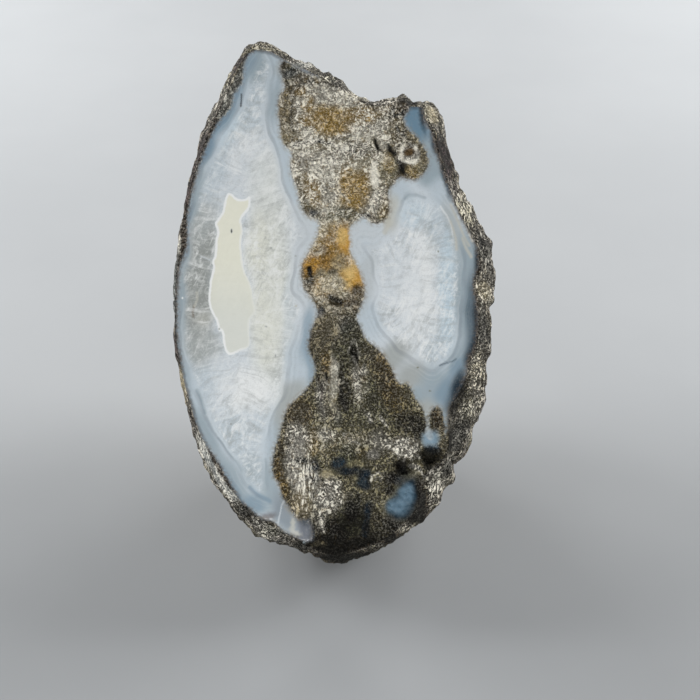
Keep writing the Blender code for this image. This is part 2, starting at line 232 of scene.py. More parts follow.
# Tints, as the eye sees them in even light
TINTS = {
    "milk": (209, 216, 221),
    "snow": (238, 240, 239),
    "ice": (190, 208, 219),
    "mist": (187, 199, 207),
    "slate": (154, 168, 176),
    "steel": (109, 137, 156),
    "pewter": (166, 171, 170),
    "ash": (149, 153, 150),
    "lavender": (199, 206, 210),
    "ivory": (219, 221, 212),
    "cream": (233, 232, 214),
    "sand": (192, 191, 180),
    "navy": (24, 40, 52),
    "teal": (56, 78, 92),
    "ink": (22, 25, 28),
    "sugar": (222, 212, 182),
    "chalk": (252, 247, 232),
    "ochre": (200, 164, 84),
    "umber": (98, 78, 50),
    "amber": (198, 150, 62),
    "honey": (224, 192, 124),
    "olive": (159, 151, 117),
    "moss": (108, 109, 83),
    "soot": (16, 15, 12),
    "bark": (104, 93, 84),
    "plum": (84, 72, 72),
    "dusk": (92, 98, 108),
    "tan": (176, 164, 132),
}

# Soft oval patches of the agate, laid over each other in order: tint, strength, and for each oval its
# place across and down, half width, half height and any turn in degrees
AGATE_PATCHES = [
    ("milk", 1.0, (262, 250, 60, 215), (420, 290, 70, 120)),
    ("ivory", 0.9, (270, 290, 22, 110)),
    ("ivory", 0.35, (262, 176, 16, 30, 8)),
    ("ash", 1.0, (198, 300, 17, 66), (204, 250, 16, 20)),
    ("pewter", 0.8, (204, 222, 16, 24, 10), (206, 345, 18, 20)),
    ("ash", 0.7, (212, 238, 7, 14, 10)),
    ("pewter", 0.5, (200, 262, 10, 4, 10)),
    ("sand", 0.4, (204, 318, 10, 8)),
    ("mist", 1.0, (250, 88, 18, 40, 16), (252, 470, 12, 28, -20), (272, 442, 8, 40, 10)),
    ("mist", 0.7, (252, 122, 16, 20, 10), (214, 172, 12, 26, 20), (240, 440, 18, 22, -20)),
    ("mist", 0.5, (288, 330, 6, 60), (262, 420, 8, 30, 14)),
    ("cream", 0.45, (256, 240, 12, 34)),
    ("cream", 0.25, (262, 330, 14, 50)),
    ("snow", 0.80, (246, 390, 28, 22, 10)),
    ("milk", 0.6, (222, 396, 12, 26, 30), (224, 366, 18, 10, 30)),
    ("ice", 0.6, (230, 132, 10, 22, 30)),
    ("snow", 0.35, (250, 143, 10, 14, 20), (238, 133, 4, 9, 30), (237, 160, 6, 12)),
    # left lobe, outer margin
    ("slate", 1.0, (193, 196, 10, 44, 14), (180, 280, 7, 44, 2), (232, 484, 14, 46, -36),
        (258, 62, 8, 22, 8), (262, 503, 22, 11, -20), (203, 432, 11, 40, -26)),
    ("slate", 0.85, (184, 385, 7, 30, -10), (274, 92, 9, 46)),
    ("slate", 0.6, (178, 325, 7, 40, -2), (252, 468, 13, 17, -20)),
    ("steel", 0.85, (236, 84, 11, 42, 24), (218, 120, 11, 24, 34), (206, 148, 8, 28, 24)),
    ("steel", 0.6, (186, 226, 6, 34, 4), (192, 180, 5, 26, 16), (252, 506, 15, 12, -40),
        (226, 480, 6, 34, -36)),
    ("mist", 0.7, (272, 72, 5, 20, 6)),
    ("pewter", 0.8, (292, 62, 22, 7, -26)),
    # left lobe, margin beside the crust
    ("mist", 0.9, (282, 150, 9, 30, -12), (292, 182, 8, 30, -10), (302, 360, 14, 32)),
    ("lavender", 0.8, (302, 216, 14, 14, -20), (306, 236, 12, 14)),
    ("lavender", 0.6, (298, 270, 8, 28), (304, 300, 8, 16, -20)),
    ("steel", 0.6, (308, 332, 8, 30, 6), (311, 368, 6, 22)),
    ("pewter", 0.9, (294, 392, 12, 16, 40), (282, 410, 7, 26, 12)),
    ("slate", 0.6, (274, 452, 6, 34, 8)),
    ("slate", 1.0, (270, 486, 9, 22), (284, 514, 14, 22, -20)),
    ("pewter", 0.7, (289, 508, 5, 11, -20)),
    ("dusk", 0.5, (286, 512, 14, 24, -20)),
    ("dusk", 1.0, (309, 528, 13, 22, -10), (296, 539, 20, 7, -24), (303, 522, 5, 12, -20)),
    ("navy", 0.8, (314, 533, 6, 13), (306, 521, 5, 5), (290, 537, 9, 4, -20)),
    ("sand", 0.8, (292, 524, 2.5, 6, 10), (294, 531, 7, 2.5, 20)),
    ("plum", 0.7, (268, 517, 9, 5, -20)),
    # right lobe, margins
    ("steel", 1.0, (413, 116, 12, 19, -10), (420, 134, 12, 16, -35)),
    ("slate", 1.0, (429, 154, 10, 20, -12), (434, 176, 16, 14)),
    ("mist", 0.9, (440, 192, 12, 14), (398, 192, 16, 12, 20), (368, 320, 14, 22, -30)),
    ("sand", 0.75, (392, 214, 9, 22)),
    ("lavender", 0.8, (368, 230, 22, 9, 6), (354, 242, 8, 20)),
    ("pewter", 0.4, (366, 280, 10, 34, 6)),
    ("pewter", 1.0, (392, 356, 24, 14, -35), (412, 376, 22, 16, -20), (430, 402, 16, 16)),
    # right lobe, inside
    ("ice", 0.6, (416, 214, 18, 16)),
    ("mist", 1.0, (440, 232, 16, 26, -20), (460, 250, 10, 30, -15), (444, 352, 22, 28)),
    ("snow", 0.35, (424, 246, 12, 22, -10), (418, 300, 20, 46), (426, 282, 6, 34)),
    ("ice", 1.0, (448, 290, 10, 60)),
    ("pewter", 0.6, (454, 228, 8, 32, -18)),
    ("slate", 1.0, (463, 300, 9, 54), (470, 258, 9, 32, -10), (462, 358, 13, 24, 30),
        (438, 386, 22, 18, 30), (418, 396, 10, 10), (446, 416, 6, 20)),
    ("steel", 0.6, (446, 392, 10, 14, 20), (458, 368, 7, 16, 30)),
    ("teal", 0.8, (472, 318, 8, 48), (460, 384, 6, 22, 25)),
    ("navy", 1.0, (478, 322, 7, 44), (476, 352, 9, 16, 20), (459, 395, 11, 24, 22), (450, 440, 5, 16),
        (479, 262, 6, 24, -6)),
    ("navy", 0.9, (423, 112, 3, 22, -4), (437, 144, 5, 22, -14)),
    ("teal", 0.9, (446, 180, 4, 22, -16)),
    ("slate", 1.0, (429, 437, 8, 7)),
]

# Soft oval patches of the brown crust between the lobes, in the same form
CRUST_PATCHES = [
    ("sugar", 1.0, (338, 150, 60, 90)),
    ("tan", 1.0, (335, 262, 40, 55)),
    ("olive", 1.0, (360, 450, 100, 130)),
    # upper crust
    ("chalk", 0.75, (325, 92, 22, 10, -20), (350, 100, 28, 8, -8), (306, 112, 12, 20),
        (360, 128, 36, 10, -4), (322, 165, 24, 14), (330, 190, 16, 14), (308, 128, 9, 8),
        (304, 158, 10, 9), (374, 202, 14, 12, 20), (384, 144, 8, 9)),
    ("ochre", 1.0, (330, 120, 26, 16, 10), (301, 91, 5, 5), (360, 115, 18, 9), (309, 104, 8, 9, 20)),
    ("ochre", 1.0, (312, 190, 9, 15, -20), (348, 184, 12, 18, -10), (362, 184, 9, 16), (352, 200, 13, 9),
        (306, 122, 8, 5, 20)),
    ("umber", 0.5, (380, 106, 24, 6, 6), (302, 204, 8, 12), (338, 214, 20, 5)),
    ("olive", 0.7, (288, 72, 6, 12)),
    ("tan", 0.9, (285, 112, 8, 28), (288, 136, 8, 14, -10), (412, 136, 16, 9, 20), (424, 156, 7, 16)),
    ("ash", 1.0, (238, 78, 9, 24, 22), (226, 104, 9, 18, 24), (300, 66, 40, 6, -28)),
    ("umber", 0.25, (285, 112, 8, 28), (297, 168, 6, 24)),
    ("dusk", 0.5, (350, 151, 28, 9, -6), (308, 84, 12, 5, -20), (342, 136, 12, 4)),
    ("navy", 0.9, (302, 142, 10, 4, -12), (316, 140, 9, 3, 6), (398, 114, 9, 7), (400, 131, 5, 6)),
    ("tan", 0.8, (398, 124, 6, 8), (392, 132, 8, 10)),
    ("soot", 0.6, (327, 80, 10, 4, -24), (336, 84, 9, 4, -30)),
    ("olive", 0.85, (389, 168, 10, 18), (414, 170, 13, 10), (383, 212, 8, 12)),
    ("ochre", 0.5, (388, 160, 6, 12), (412, 172, 10, 8), (384, 208, 6, 10)),
    ("moss", 0.85, (338, 214, 24, 7), (304, 206, 6, 6)),
    ("chalk", 1.0, (375, 176, 5, 15, -6), (410, 158, 9, 4)),
    ("umber", 1.0, (409, 151, 5, 5)),
    ("sand", 0.6, (238, 78, 9, 24, 22), (226, 104, 9, 18, 24)),
    ("soot", 0.85, (402, 167, 5, 9)),
    # neck
    ("sugar", 0.7, (330, 226, 12, 9)),
    ("chalk", 0.7, (324, 212, 5, 6)),
    ("dusk", 0.9, (314, 213, 6, 4), (364, 214, 6, 4)),
    ("ochre", 0.7, (334, 246, 18, 22, 20)),
    ("amber", 0.6, (333, 244, 13, 18, 20), (345, 262, 8, 8)),
    ("umber", 0.6, (321, 258, 11, 12, 40), (306, 276, 5, 12)),
    ("amber", 1.0, (345, 240, 8, 18), (352, 276, 12, 18, -20), (312, 264, 9, 12, 20)),
    ("amber", 0.7, (324, 286, 14, 10), (330, 262, 10, 10)),
    ("honey", 0.8, (342, 236, 6, 10), (350, 270, 9, 10), (344, 284, 7, 6), (318, 290, 6, 5)),
    ("tan", 0.7, (338, 262, 8, 12)),
    ("sugar", 0.8, (330, 284, 12, 9)),
    ("soot", 0.85, (311, 271, 3, 5), (309, 281, 5, 4), (357, 289, 6, 6)),
    # the first oval paints black shade into the hollow at (336, 301)
    ("soot", 0.7, (340, 301, 13, 5, 20), (333, 272, 6, 4)),
    ("umber", 0.7, (352, 303, 9, 9)),
    ("dusk", 0.9, (322, 311, 5, 6)),
    # lower crust
    ("tan", 0.6, (328, 326, 16, 14), (322, 345, 8, 16)),
    ("dusk", 0.75, (347, 326, 10, 10)),
    ("moss", 0.6, (354, 332, 14, 22), (342, 358, 14, 18), (372, 405, 30, 26)),
    # painted shade: black inside the hollow at (354, 352)
    ("soot", 1.0, (354, 354, 5, 13), (354, 354, 4, 9)),
    ("ochre", 0.3, (392, 390, 12, 32, -20), (300, 410, 13, 18), (350, 454, 20, 6)),
    ("ochre", 0.45, (326, 362, 7, 12), (383, 356, 7, 10), (312, 442, 8, 14)),
    ("sand", 0.7, (333, 378, 5, 24), (336, 412, 5, 14, -20)),
    ("plum", 0.5, (324, 386, 5, 26)),
    ("umber", 0.5, (386, 376, 12, 30, -20), (362, 376, 5, 12)),
    ("soot", 0.8, (345, 394, 8, 18), (406, 422, 14, 12), (340, 372, 3, 16)),
    ("chalk", 0.75, (357, 382, 5, 16, -10), (322, 400, 6, 20), (366, 370, 4, 8)),
    ("sugar", 0.7, (330, 408, 8, 14, -10), (352, 440, 12, 7, 10), (348, 504, 6, 12)),
    ("umber", 0.7, (298, 412, 14, 13), (437, 420, 7, 14)),
    ("umber", 0.4, (281, 464, 7, 30, 4)),
    ("ochre", 0.4, (279, 472, 5, 14), (284, 488, 5, 12)),
    ("tan", 0.5, (298, 410, 12, 10), (440, 436, 4, 12)),
    ("chalk", 1.0, (297, 448, 11, 26), (299, 476, 12, 24, -6), (329, 496, 14, 19)),
    ("sugar", 0.5, (305, 476, 4, 22, -4)),
    ("chalk", 0.7, (326, 436, 9, 8), (322, 524, 6, 12), (379, 442, 10, 11), (404, 447, 18, 10),
        (432, 484, 9, 18), (316, 492, 4, 30)),
    ("sugar", 1.0, (302, 504, 13, 18, -16)),
    ("ochre", 0.35, (300, 505, 12, 16, -16)),
    ("moss", 0.9, (346, 454, 14, 9), (350, 520, 16, 20)),
    ("tan", 0.7, (327, 474, 8, 5)),
    ("navy", 1.0, (314, 467, 7, 9), (313, 477, 5, 7), (365, 474, 7, 8), (364, 485, 9, 8), (338, 464, 9, 7),
        (351, 470, 13, 5, -6), (301, 461, 10, 4)),
    ("teal", 0.7, (337, 463, 6, 5), (363, 482, 4, 6), (312, 468, 2, 7)),
    # painted shade: black in and below the hollow at (404, 466)
    ("soot", 1.0, (402, 467, 10, 9), (394, 478, 12, 7)),
    # the first oval is painted shade, black inside the hollow at (430, 455)
    ("soot", 0.85, (431, 459, 15, 12), (420, 430, 7, 12)),
    ("chalk", 0.95, (374, 455, 5, 5)),
    ("navy", 1.0, (410, 493, 15, 23), (400, 510, 17, 13), (367, 513, 6, 13, 10), (364, 531, 5, 12),
        (433, 449, 7, 5)),
    ("teal", 1.0, (405, 496, 10, 14, 14), (397, 507, 11, 11)),
    ("steel", 0.6, (406, 494, 7, 11, 10), (397, 507, 10, 8)),
    ("soot", 0.95, (422, 501, 6, 17, 20), (391, 490, 6, 7)),
    ("slate", 1.0, (431.5, 438, 8.5, 9)),
    ("steel", 0.7, (431.5, 438, 9, 9)),
    ("navy", 1.0, (458, 396, 8, 18, 25)),
    ("tan", 0.6, (376, 521, 7, 8), (390, 525, 3, 6)),
    ("soot", 0.6, (352, 536, 60, 26)),
    ("soot", 1.0, (345, 548, 74, 15), (336, 532, 14, 12), (402, 530, 28, 10, 30), (420, 492, 4, 20),
        (352, 512, 10, 16)),
    ("tan", 0.4, (320, 545, 7, 3)),
]

# How the crust is speckled, in ovals as above: white grains, dark gaps, upright streaks, calm
SPECKLES = [
    ((0.66, 0.36, 0.10, 0.0), (338, 150, 70, 90)),
    ((0.50, 0.40, 0.10, 0.25), (335, 262, 45, 60)),
    ((0.27, 0.58, 0.30, 0.0), (360, 450, 110, 135)),
    ((0.42, 0.50, 0.2, 0.0), (320, 440, 20, 20), (352, 440, 20, 12), (360, 388, 10, 30)),
    ((0.40, 0.42, 0.10, 0.1), (330, 118, 24, 17, 10), (352, 190, 18, 22), (286, 120, 9, 30),
        (390, 168, 11, 18), (414, 168, 14, 12)),
    ((0.30, 0.20, 0.0, 0.60), (345, 240, 8, 16), (352, 276, 12, 15, -20)),
    ((0.25, 0.45, 0.0, 0.30), (312, 266, 9, 10, 20), (330, 262, 12, 16)),
    ((0.12, 0.45, 0.6, 0.15), (314, 470, 7, 13), (364, 480, 10, 14), (346, 466, 18, 8, -6),
        (366, 522, 6, 18)),
    ((0.3, 0.3, 0.2, 0.4), (327, 474, 8, 5)),
    ((0.5, 0.4, 0.6, 0.25), (333, 380, 6, 28)),
    ((0.68, 0.55, 0.25, 0.0), (297, 446, 12, 24)),
    ((0.60, 0.45, 0.90, 0.0), (304, 480, 16, 38, -4)),
    ((0.68, 0.55, 0.2, 0.0), (330, 496, 14, 18), (404, 448, 20, 11)),
    ((0.05, 0.7, 0.2, 0.1), (345, 548, 84, 15), (352, 524, 20, 16), (421, 501, 8, 17, 20),
        # the last two ovals paint dark gaps as shade inside the hollows at (404, 466) and (430, 455)
        (402, 467, 11, 10), (430, 458, 13, 11)),
    ((0.3, 0.3, 0.1, 0.90), (408, 494, 15, 22), (399, 509, 16, 13), (431.5, 438, 9, 9)),
    ((0.1, 0.4, 0.3, 0.6), (458, 396, 7, 16, 25)),
    ((0.7, 0.2, 0.0, 0.5), (375, 176, 5, 13, -6), (412, 160, 10, 3), (402, 150, 3, 8), (416, 148, 3, 6)),
    # the ovals at (377, 144) and (391, 149) paint dark gaps as shade inside the hollows there
    ((0.1, 0.8, 0.0, 0.6), (377, 144, 3, 9, -20), (391, 149, 4, 8, -30), (403, 168, 4, 9),
        (409, 151, 4, 4)),
]

# Soft oval patches of the natural crust seen beside the face: tint, how strong its white grains, dark
# gaps and upright streaks are, and ovals
SKIN_PATCHES = [
    ("plum", (0.15, 0.6, 0.6), (240, 58, 8, 20, 26), (200, 147, 7, 26, 22), (188, 188, 7, 32, 14)),
    ("bark", (0.30, 0.60, 0.6), (214, 118, 8, 16, 26), (180, 224, 7, 20, 8), (190, 420, 9, 24, -20)),
    ("olive", (0.40, 0.5, 0.2), (252, 46, 14, 5, -10), (270, 47, 12, 4, -14)),
    ("tan", (0.40, 0.6, 0.6), (236, 78, 5, 14, 26)),
    # the chalk oval at (176, 244) is a painted highlight, a glint on the left side of the crust; the one at
    # (226, 101) is a white patch
    ("chalk", (0.50, 0.4, 0.6), (226, 101, 5, 11, 14), (176, 244, 5, 11, 6)),
    ("ash", (0.12, 0.55, 0.7), (173, 290, 7, 44, 2)),
    ("plum", (0.20, 0.75, 0.6), (175, 350, 7, 20, -6)),
    ("tan", (0.30, 0.45, 0.8), (180, 386, 7, 20, -10)),
    ("pewter", (0.46, 0.38, 0.9), (206, 454, 10, 24, -28), (224, 486, 10, 26, -38)),
    ("soot", (0.28, 0.60, 0.4), (246, 512, 16, 12, -34), (300, 548, 26, 9, -24)),
    ("moss", (0.45, 0.70, 0.3), (272, 530, 20, 9, -30)),
    ("olive", (0.55, 0.85, 0.8), (437, 484, 11, 20, 26)),
    ("soot", (0.06, 0.80, 0.1), (345, 560, 44, 12), (392, 540, 24, 12, 34)),
    ("soot", (0.08, 0.95, 0.2), (416, 516, 22, 10, 40), (421, 502, 9, 17, 10)),
    ("soot", (0.35, 0.70, 0.6), (448, 470, 10, 14)),
    ("soot", (0.30, 0.95, 0.5), (460, 436, 14, 24, 20)),
    ("olive", (0.45, 0.75, 0.5), (468, 404, 12, 18, 16)),
    ("tan", (0.40, 0.70, 0.4), (480, 372, 12, 20, 10)),
    ("soot", (0.12, 0.70, 0.4), (463, 388, 5, 15, 25), (454, 406, 5, 10, 20), (451, 440, 4, 16)),
    ("soot", (0.30, 0.80, 0.5), (484, 328, 10, 24)),
    ("tan", (0.40, 0.50, 0.3), (485, 290, 11, 14)),
    ("soot", (0.34, 0.90, 0.9), (487, 250, 11, 26, -12)),
    ("olive", (0.40, 0.70, 0.9), (466, 212, 12, 18, -30)),
    ("bark", (0.45, 0.55, 0.6), (455, 186, 7, 12, -24)),
    ("plum", (0.05, 0.75, 0.5), (446, 156, 8, 28, -14)),
    ("tan", (0.35, 0.35, 0.3), (433, 112, 8, 13, -16)),
    ("soot", (0.15, 0.60, 0.2), (412, 100, 10, 5), (404, 98, 4, 6)),
    ("umber", (0.50, 0.60, 0.2), (388, 100, 14, 6, 6)),
    ("sugar", (0.55, 0.50, 0.2), (356, 92, 18, 8, -26)),
    ("olive", (0.45, 0.70, 0.2), (326, 75, 14, 8, -24)),
    ("ash", (0.50, 0.45, 0.2), (300, 60, 30, 7, -28)),
]
SKIN_PATCH_DEPTH = (0.008, 0.030)
SKIN_PATCH_RAGGED = 5.0
PLAIN_SPECKLE = (0.3, 0.5, 0.3, 0.0)
BESIDE_SPECKLE, BACK_SPECKLE = (0.40, 0.80, 0.5, 0.0), (0.18, 0.46, 0.5, 0.25)

# How soft an oval and a line end, in their own half widths, and the size and amount of the noise that
# pushes what is drawn about
OVAL_END, OVAL_SOFTNESS = 1.35, 0.9
LINE_END = 1.5
AGATE_WARP = (0.006, 0.0011)
CRUST_WARP, CRUST_RUFFLE = (0.006, 0.0008), (0.0025, 0.0007)
LINE_WARP = (0.0012, 0.0003)

# How far the second lobe's crystals are moved along, so that they differ from the first one's
FAN_SHIFT = 1.0

# Thin marks on the crust: tint, half width, strength, lines
CRUST_STROKES = [
    ("navy", 1.8, 0.85, [(293, 147), (300, 142), (308, 139), (318, 140), (330, 143)],
        [(397, 127), (400, 133)], [(393, 112), (398, 113), (403, 111)],
        [(310, 520), (313, 530), (312, 540)], [(366, 510), (368, 518), (364, 527), (365, 536)]),
    ("dusk", 2.0, 0.6, [(330, 143), (345, 150), (360, 153)]),
    # the first two lines paint black shade inside the hollows at (377, 143) and (391, 150)
    ("soot", 2.0, 1.0, [(375, 139), (377, 145), (379, 150)], [(388, 144), (391, 150), (396, 154)],
        [(398, 160), (402, 168), (405, 174)], [(309, 268), (311, 276), (312, 283)],
        [(330, 296), (336, 300), (344, 304)], [(340, 386), (342, 398), (346, 410)]),
    ("chalk", 1.8, 0.95, [(400, 158), (404, 160), (410, 162), (416, 160), (419, 154)],
        [(373, 163), (375, 174), (377, 186)], [(368, 414), (371, 422)],
        # the last line here, at (410 to 418, 466), is a painted highlight on the lit upper edge beside the
        # hollow at (404, 466)
        [(371, 456), (376, 453), (378, 457)], [(410, 466), (415, 466), (418, 467)]),
    ("chalk", 1.2, 0.9, [(404, 144), (402, 150), (401, 157)], [(410, 143), (416, 147), (419, 154)],
        [(380, 416), (383, 421), (387, 427)], [(395, 444), (397, 452), (399, 459)],
        [(399, 438), (402, 446), (407, 453), (404, 462)], [(408, 438), (411, 446), (408, 454), (412, 460)],
        # the line from (412, 466) to (424, 477) is a painted highlight along the same lit edge
        [(415, 438), (418, 446), (414, 452), (420, 458)], [(412, 466), (417, 468), (421, 471), (424, 477)],
        [(320, 512), (322, 524), (324, 532)]),
    ("chalk", 1.2, 0.7, [(316, 380), (319, 392), (321, 404), (324, 414)],
        [(353, 358), (357, 366), (361, 374)], [(289, 452), (291, 466), (294, 480)],
        [(386, 440), (389, 448), (394, 450)], [(343, 434), (352, 441), (360, 444)],
        [(340, 168), (337, 180), (340, 192), (350, 202)]),
    ("chalk", 0.8, 0.85, [(349, 353), (350, 346), (354, 340), (358, 348), (359, 357)],
        [(307, 472), (309, 484), (311, 498)], [(371, 481), (372, 476), (376, 473), (381, 474), (383, 478)],
        [(375, 480), (377, 477), (380, 478), (380, 482)]),
    ("ink", 1.0, 0.8, [(286, 68), (293, 70), (300, 69), (312, 74), (324, 80), (333, 86)],
        [(326, 374), (328, 388), (329, 400)], [(304, 470), (306, 480), (309, 492)],
        [(310, 474), (312, 486), (314, 500)], [(357, 492), (360, 500), (358, 508)],
        [(333, 486), (336, 494), (331, 502)], [(322, 480), (326, 488), (322, 498)],
        [(291, 94), (292, 106), (290, 118), (293, 130)], [(288, 82), (290, 90)]),
    ("plum", 1.2, 0.8, [(318, 376), (322, 388), (321, 402)]),
    ("slate", 1.6, 0.8, [(303, 522), (306, 534), (304, 542)]),
]

# Thin marks on the agate, in the same form
AGATE_STROKES = [
    ("ink", 0.8, 1.0, [(242.5, 93), (241.8, 100), (241, 105)], [(243, 77), (242, 81)]),
    ("teal", 0.9, 0.7, [(440, 367), (447, 364), (453, 361), (458, 357)]),
    ("slate", 0.6, 0.6, [(444, 362), (450, 363), (455, 364)]),
    ("milk", 0.7, 0.6, [(285, 498), (282, 504), (281, 511), (279, 518), (277.5, 526), (281, 533)]),
    ("milk", 0.8, 0.8, [(211, 262), (206, 259), (200, 257)]),
    ("snow", 0.9, 0.45, [(440, 205), (446, 216), (450, 226), (452, 236)]),
    ("sand", 1.2, 0.75, [(452, 204), (456, 216), (462, 230), (468, 244)],
        [(450, 222), (455, 236), (458, 250)], [(462, 236), (466, 248), (470, 256)]),
    ("chalk", 1.1, 0.8, [(456, 198), (461, 212), (467, 226), (472, 240)]),
    ("umber", 1.3, 0.75, [(193.5, 306), (193, 312), (193.5, 316)]),
    ("sand", 1.2, 0.7, [(195, 292), (195.5, 300), (194, 306)]),
    ("slate", 1.5, 0.8, [(197, 391), (201, 397), (204, 404), (206, 413)]),
    ("slate", 1.3, 0.6, [(219, 438), (226, 448), (233, 459), (240, 470)],
        [(264, 460), (264, 474), (266, 486)], [(404, 199), (409, 196), (417, 195), (424, 197)]),
    ("steel", 2.2, 0.6, [(252, 486), (260, 493), (268, 499)]),
    ("lavender", 1.4, 0.7, [(364, 244), (372, 243), (381, 242)]),
    ("sand", 2.6, 0.7, [(387, 234), (391, 226), (390, 214)]),
]

# Tiny pits and specks on the agate, as upright ovals
SPECKS = [
    ("soot", 1.0, (231.5, 231, 1.1, 2.6)),
    ("moss", 1.0, (219.3, 329, 1.0, 1.0), (438.2, 251.5, 0.9, 1.1), (417.8, 367.5, 1.2, 0.9),
        (430, 391, 1.1, 0.8)),
    ("ash", 1.0, (275.5, 356, 0.7, 2.4), (266, 326.5, 1.1, 0.9), (271, 248, 1.2, 0.9),
        (276.5, 240, 0.8, 0.8), (295.5, 256, 0.8, 0.8), (231, 424, 1.1, 1.0), (254, 426, 0.7, 1.0)),
    ("snow", 1.0, (182.5, 298, 0.8, 1.2)),
    ("sand", 1.0, (296, 306, 1.4, 0.8)),
]


# Shape

def on_face(point):
    """Outline steps to metres across and up the face."""
    return Vector(((point[0] - OUTLINE_MIDDLE[0]) * OUTLINE_STEP,
                   (OUTLINE_MIDDLE[1] - point[1]) * OUTLINE_STEP))


def bearing_table(outline):
    """An outline as (bearing, distance from the middle), sorted by bearing."""
    table = []
    for point in outline:
        place = on_face(point)
        table.append((math.atan2(place.y, place.x), place.length))
    return sorted(table)


def distance_at(table, bearing):
    """Distance from the middle to a bearing_table outline, straight between its points."""
    first, last = table[0], table[-1]
    wrapped = [(last[0] - math.tau, last[1])] + table + [(first[0] + math.tau, first[1])]
    for (bearing_a, far_a), (bearing_b, far_b) in zip(wrapped, wrapped[1:]):
        if bearing_a <= bearing <= bearing_b:
            return edge_distance(bearing_a, far_a, bearing_b, far_b, bearing)
    return first[1]


def edge_distance(bearing_a, far_a, bearing_b, far_b, bearing):
    """Distance along a bearing to the straight edge between two outline points."""
    if bearing_b - bearing_a < 1e-9:
        return far_a
    across = far_a * math.sin(bearing - bearing_a) / far_b + math.sin(bearing_b - bearing)
    return far_a * math.sin(bearing_b - bearing_a) / across


def smooth_step(low, high, value):
    """0 below low, 1 above high, and a smooth rise between them."""
    share = min(1.0, max(0.0, (value - low) / (high - low)))
    return share * share * (3.0 - 2.0 * share)


def meridian(bearing, rim, widest):
    """How far the nodule reaches along a bearing: rim, widest section, and that section smoothed."""
    rim_far = distance_at(rim, bearing)
    widest_far = max(rim_far, distance_at(widest, bearing)) * WIDEST_SPREAD
    nearby = [distance_at(widest, wrapped_bearing(bearing + step * SMOOTHING_STEP))
              for step in range(-SMOOTHING_REACH, SMOOTHING_REACH + 1)]
    smoothed_far = WIDEST_SPREAD * sum(nearby) / len(nearby)
    return rim_far, widest_far, smoothed_far


def wrapped_bearing(bearing):
    """The same bearing between minus pi and pi."""
    return (bearing + math.pi) % math.tau - math.pi


def smooth_body(bearing, reaches, level):
    """A point of the nodule without its skin relief; level is 0 at the rim, 1 at the back."""
    rim_far, widest_far, smoothed_far = reaches
    if level < SHOULDER_SHARE:
        turn = math.sin(0.5 * math.pi * level / SHOULDER_SHARE)
        far = rim_far + (widest_far - rim_far) * turn
        depth = SHOULDER_DEPTH * level / SHOULDER_SHARE
        drift = 0.0
    else:
        angle = 0.5 * math.pi * (level - SHOULDER_SHARE) / (1.0 - SHOULDER_SHARE)
        dome_far = widest_far + (smoothed_far - widest_far) * smooth_step(0.0, SMOOTHING_TURN, angle)
        far = dome_far * max(0.0, math.cos(angle)) ** DOME_FULLNESS
        depth = SHOULDER_DEPTH + (BACK_DEPTH - SHOULDER_DEPTH) * math.sin(angle) ** DOME_FULLNESS
        drift = math.sin(angle) ** 2
    return Vector((far * math.cos(bearing) + DOME_DRIFT.x * drift,
                   far * math.sin(bearing) + DOME_DRIFT.y * drift,
                   -depth))


def break_planes(rim, widest):
    """Each break as its outward direction and its distance from the middle of the face."""
    points = []
    for turn in range(BREAK_BEARINGS):
        bearing = wrapped_bearing(math.tau * turn / BREAK_BEARINGS)
        reaches = meridian(bearing, rim, widest)
        points += [smooth_body(bearing, reaches, ring / BREAK_RINGS) for ring in range(BREAK_RINGS + 1)]
    planes = []
    for looks, bite in BREAKS:
        outward = looks.normalized()
        planes.append((outward, max(point.dot(outward) for point in points) - bite))
    return planes


def skin_height(place):
    """Height of the natural skin over the smooth body: swells, lumps, upright ridges and pits."""
    swell = SWELL_HEIGHT * noise.noise(place / SWELL_SIZE + SKIN_SHIFT)
    lump = LUMP_HEIGHT * noise.noise(place / LUMP_SIZE - SKIN_SHIFT)
    along = Vector((place.x, place.y / RIDGE_STRETCH, place.z)) / RIDGE_SIZE
    ridge = RIDGE_HEIGHT * (1.0 - 2.0 * abs(noise.noise(along + SKIN_SHIFT)))
    nearest = noise.voronoi(place / PIT_SPACING + SKIN_SHIFT)[0][0]
    pit = PIT_DEPTH * smooth_step(0.0, 1.0, 1.0 - nearest / PIT_WIDTH)
    return swell + lump + ridge - pit


def grit(place):
    """Depth of fine roughness below the skin, never above it, and how much of it is a hollow."""
    along = Vector((place.x, place.y / RIDGE_STRETCH, place.z))
    rough = abs(noise.noise(along / GRIT_SIZE + SKIN_SHIFT))
    flake = abs(noise.noise(along / FLAKE_SIZE - SKIN_SHIFT))
    nearest = noise.voronoi(place / POCK_SPACING - SKIN_SHIFT)[0][0]
    pock = smooth_step(0.0, 1.0, 1.0 - nearest / POCK_WIDTH)
    depth = GRIT_DEPTH * (1.0 - min(1.0, 2.0 * rough)) + FLAKE_DEPTH * (1.0 - min(1.0, 2.0 * flake))
    return depth + POCK_DEPTH * pock, pock


def with_skin(place, planes):
    """Move a point of the smooth body to the natural skin, and give the painted shade of the hollow it lies
    in.
    """
    fade = smooth_step(SKIN_START, SKIN_FULL, -place.z)
    for outward, far in planes:
        over = place.dot(outward) - far
        if over > 0.0:
            place = place - outward * over * (1.0 - BREAK_SOFTNESS) * fade
    outward = (place - Vector((0.0, 0.0, -BACK_DEPTH * SKIN_CENTRE))).normalized()
    height = skin_height(place) * fade
    fine, pock = grit(place)
    fine *= smooth_step(0.0, GRIT_START, -place.z)
    # painted shade: darker in pits, pocks and grit, lighter where the skin stands high
    shade = SHADE_LEVEL + SHADE_PER_POCK * pock - height / SHADE_HEIGHT + fine / SHADE_DEPTH
    return place + outward * (height - fine), min(1.0, max(0.0, shade))


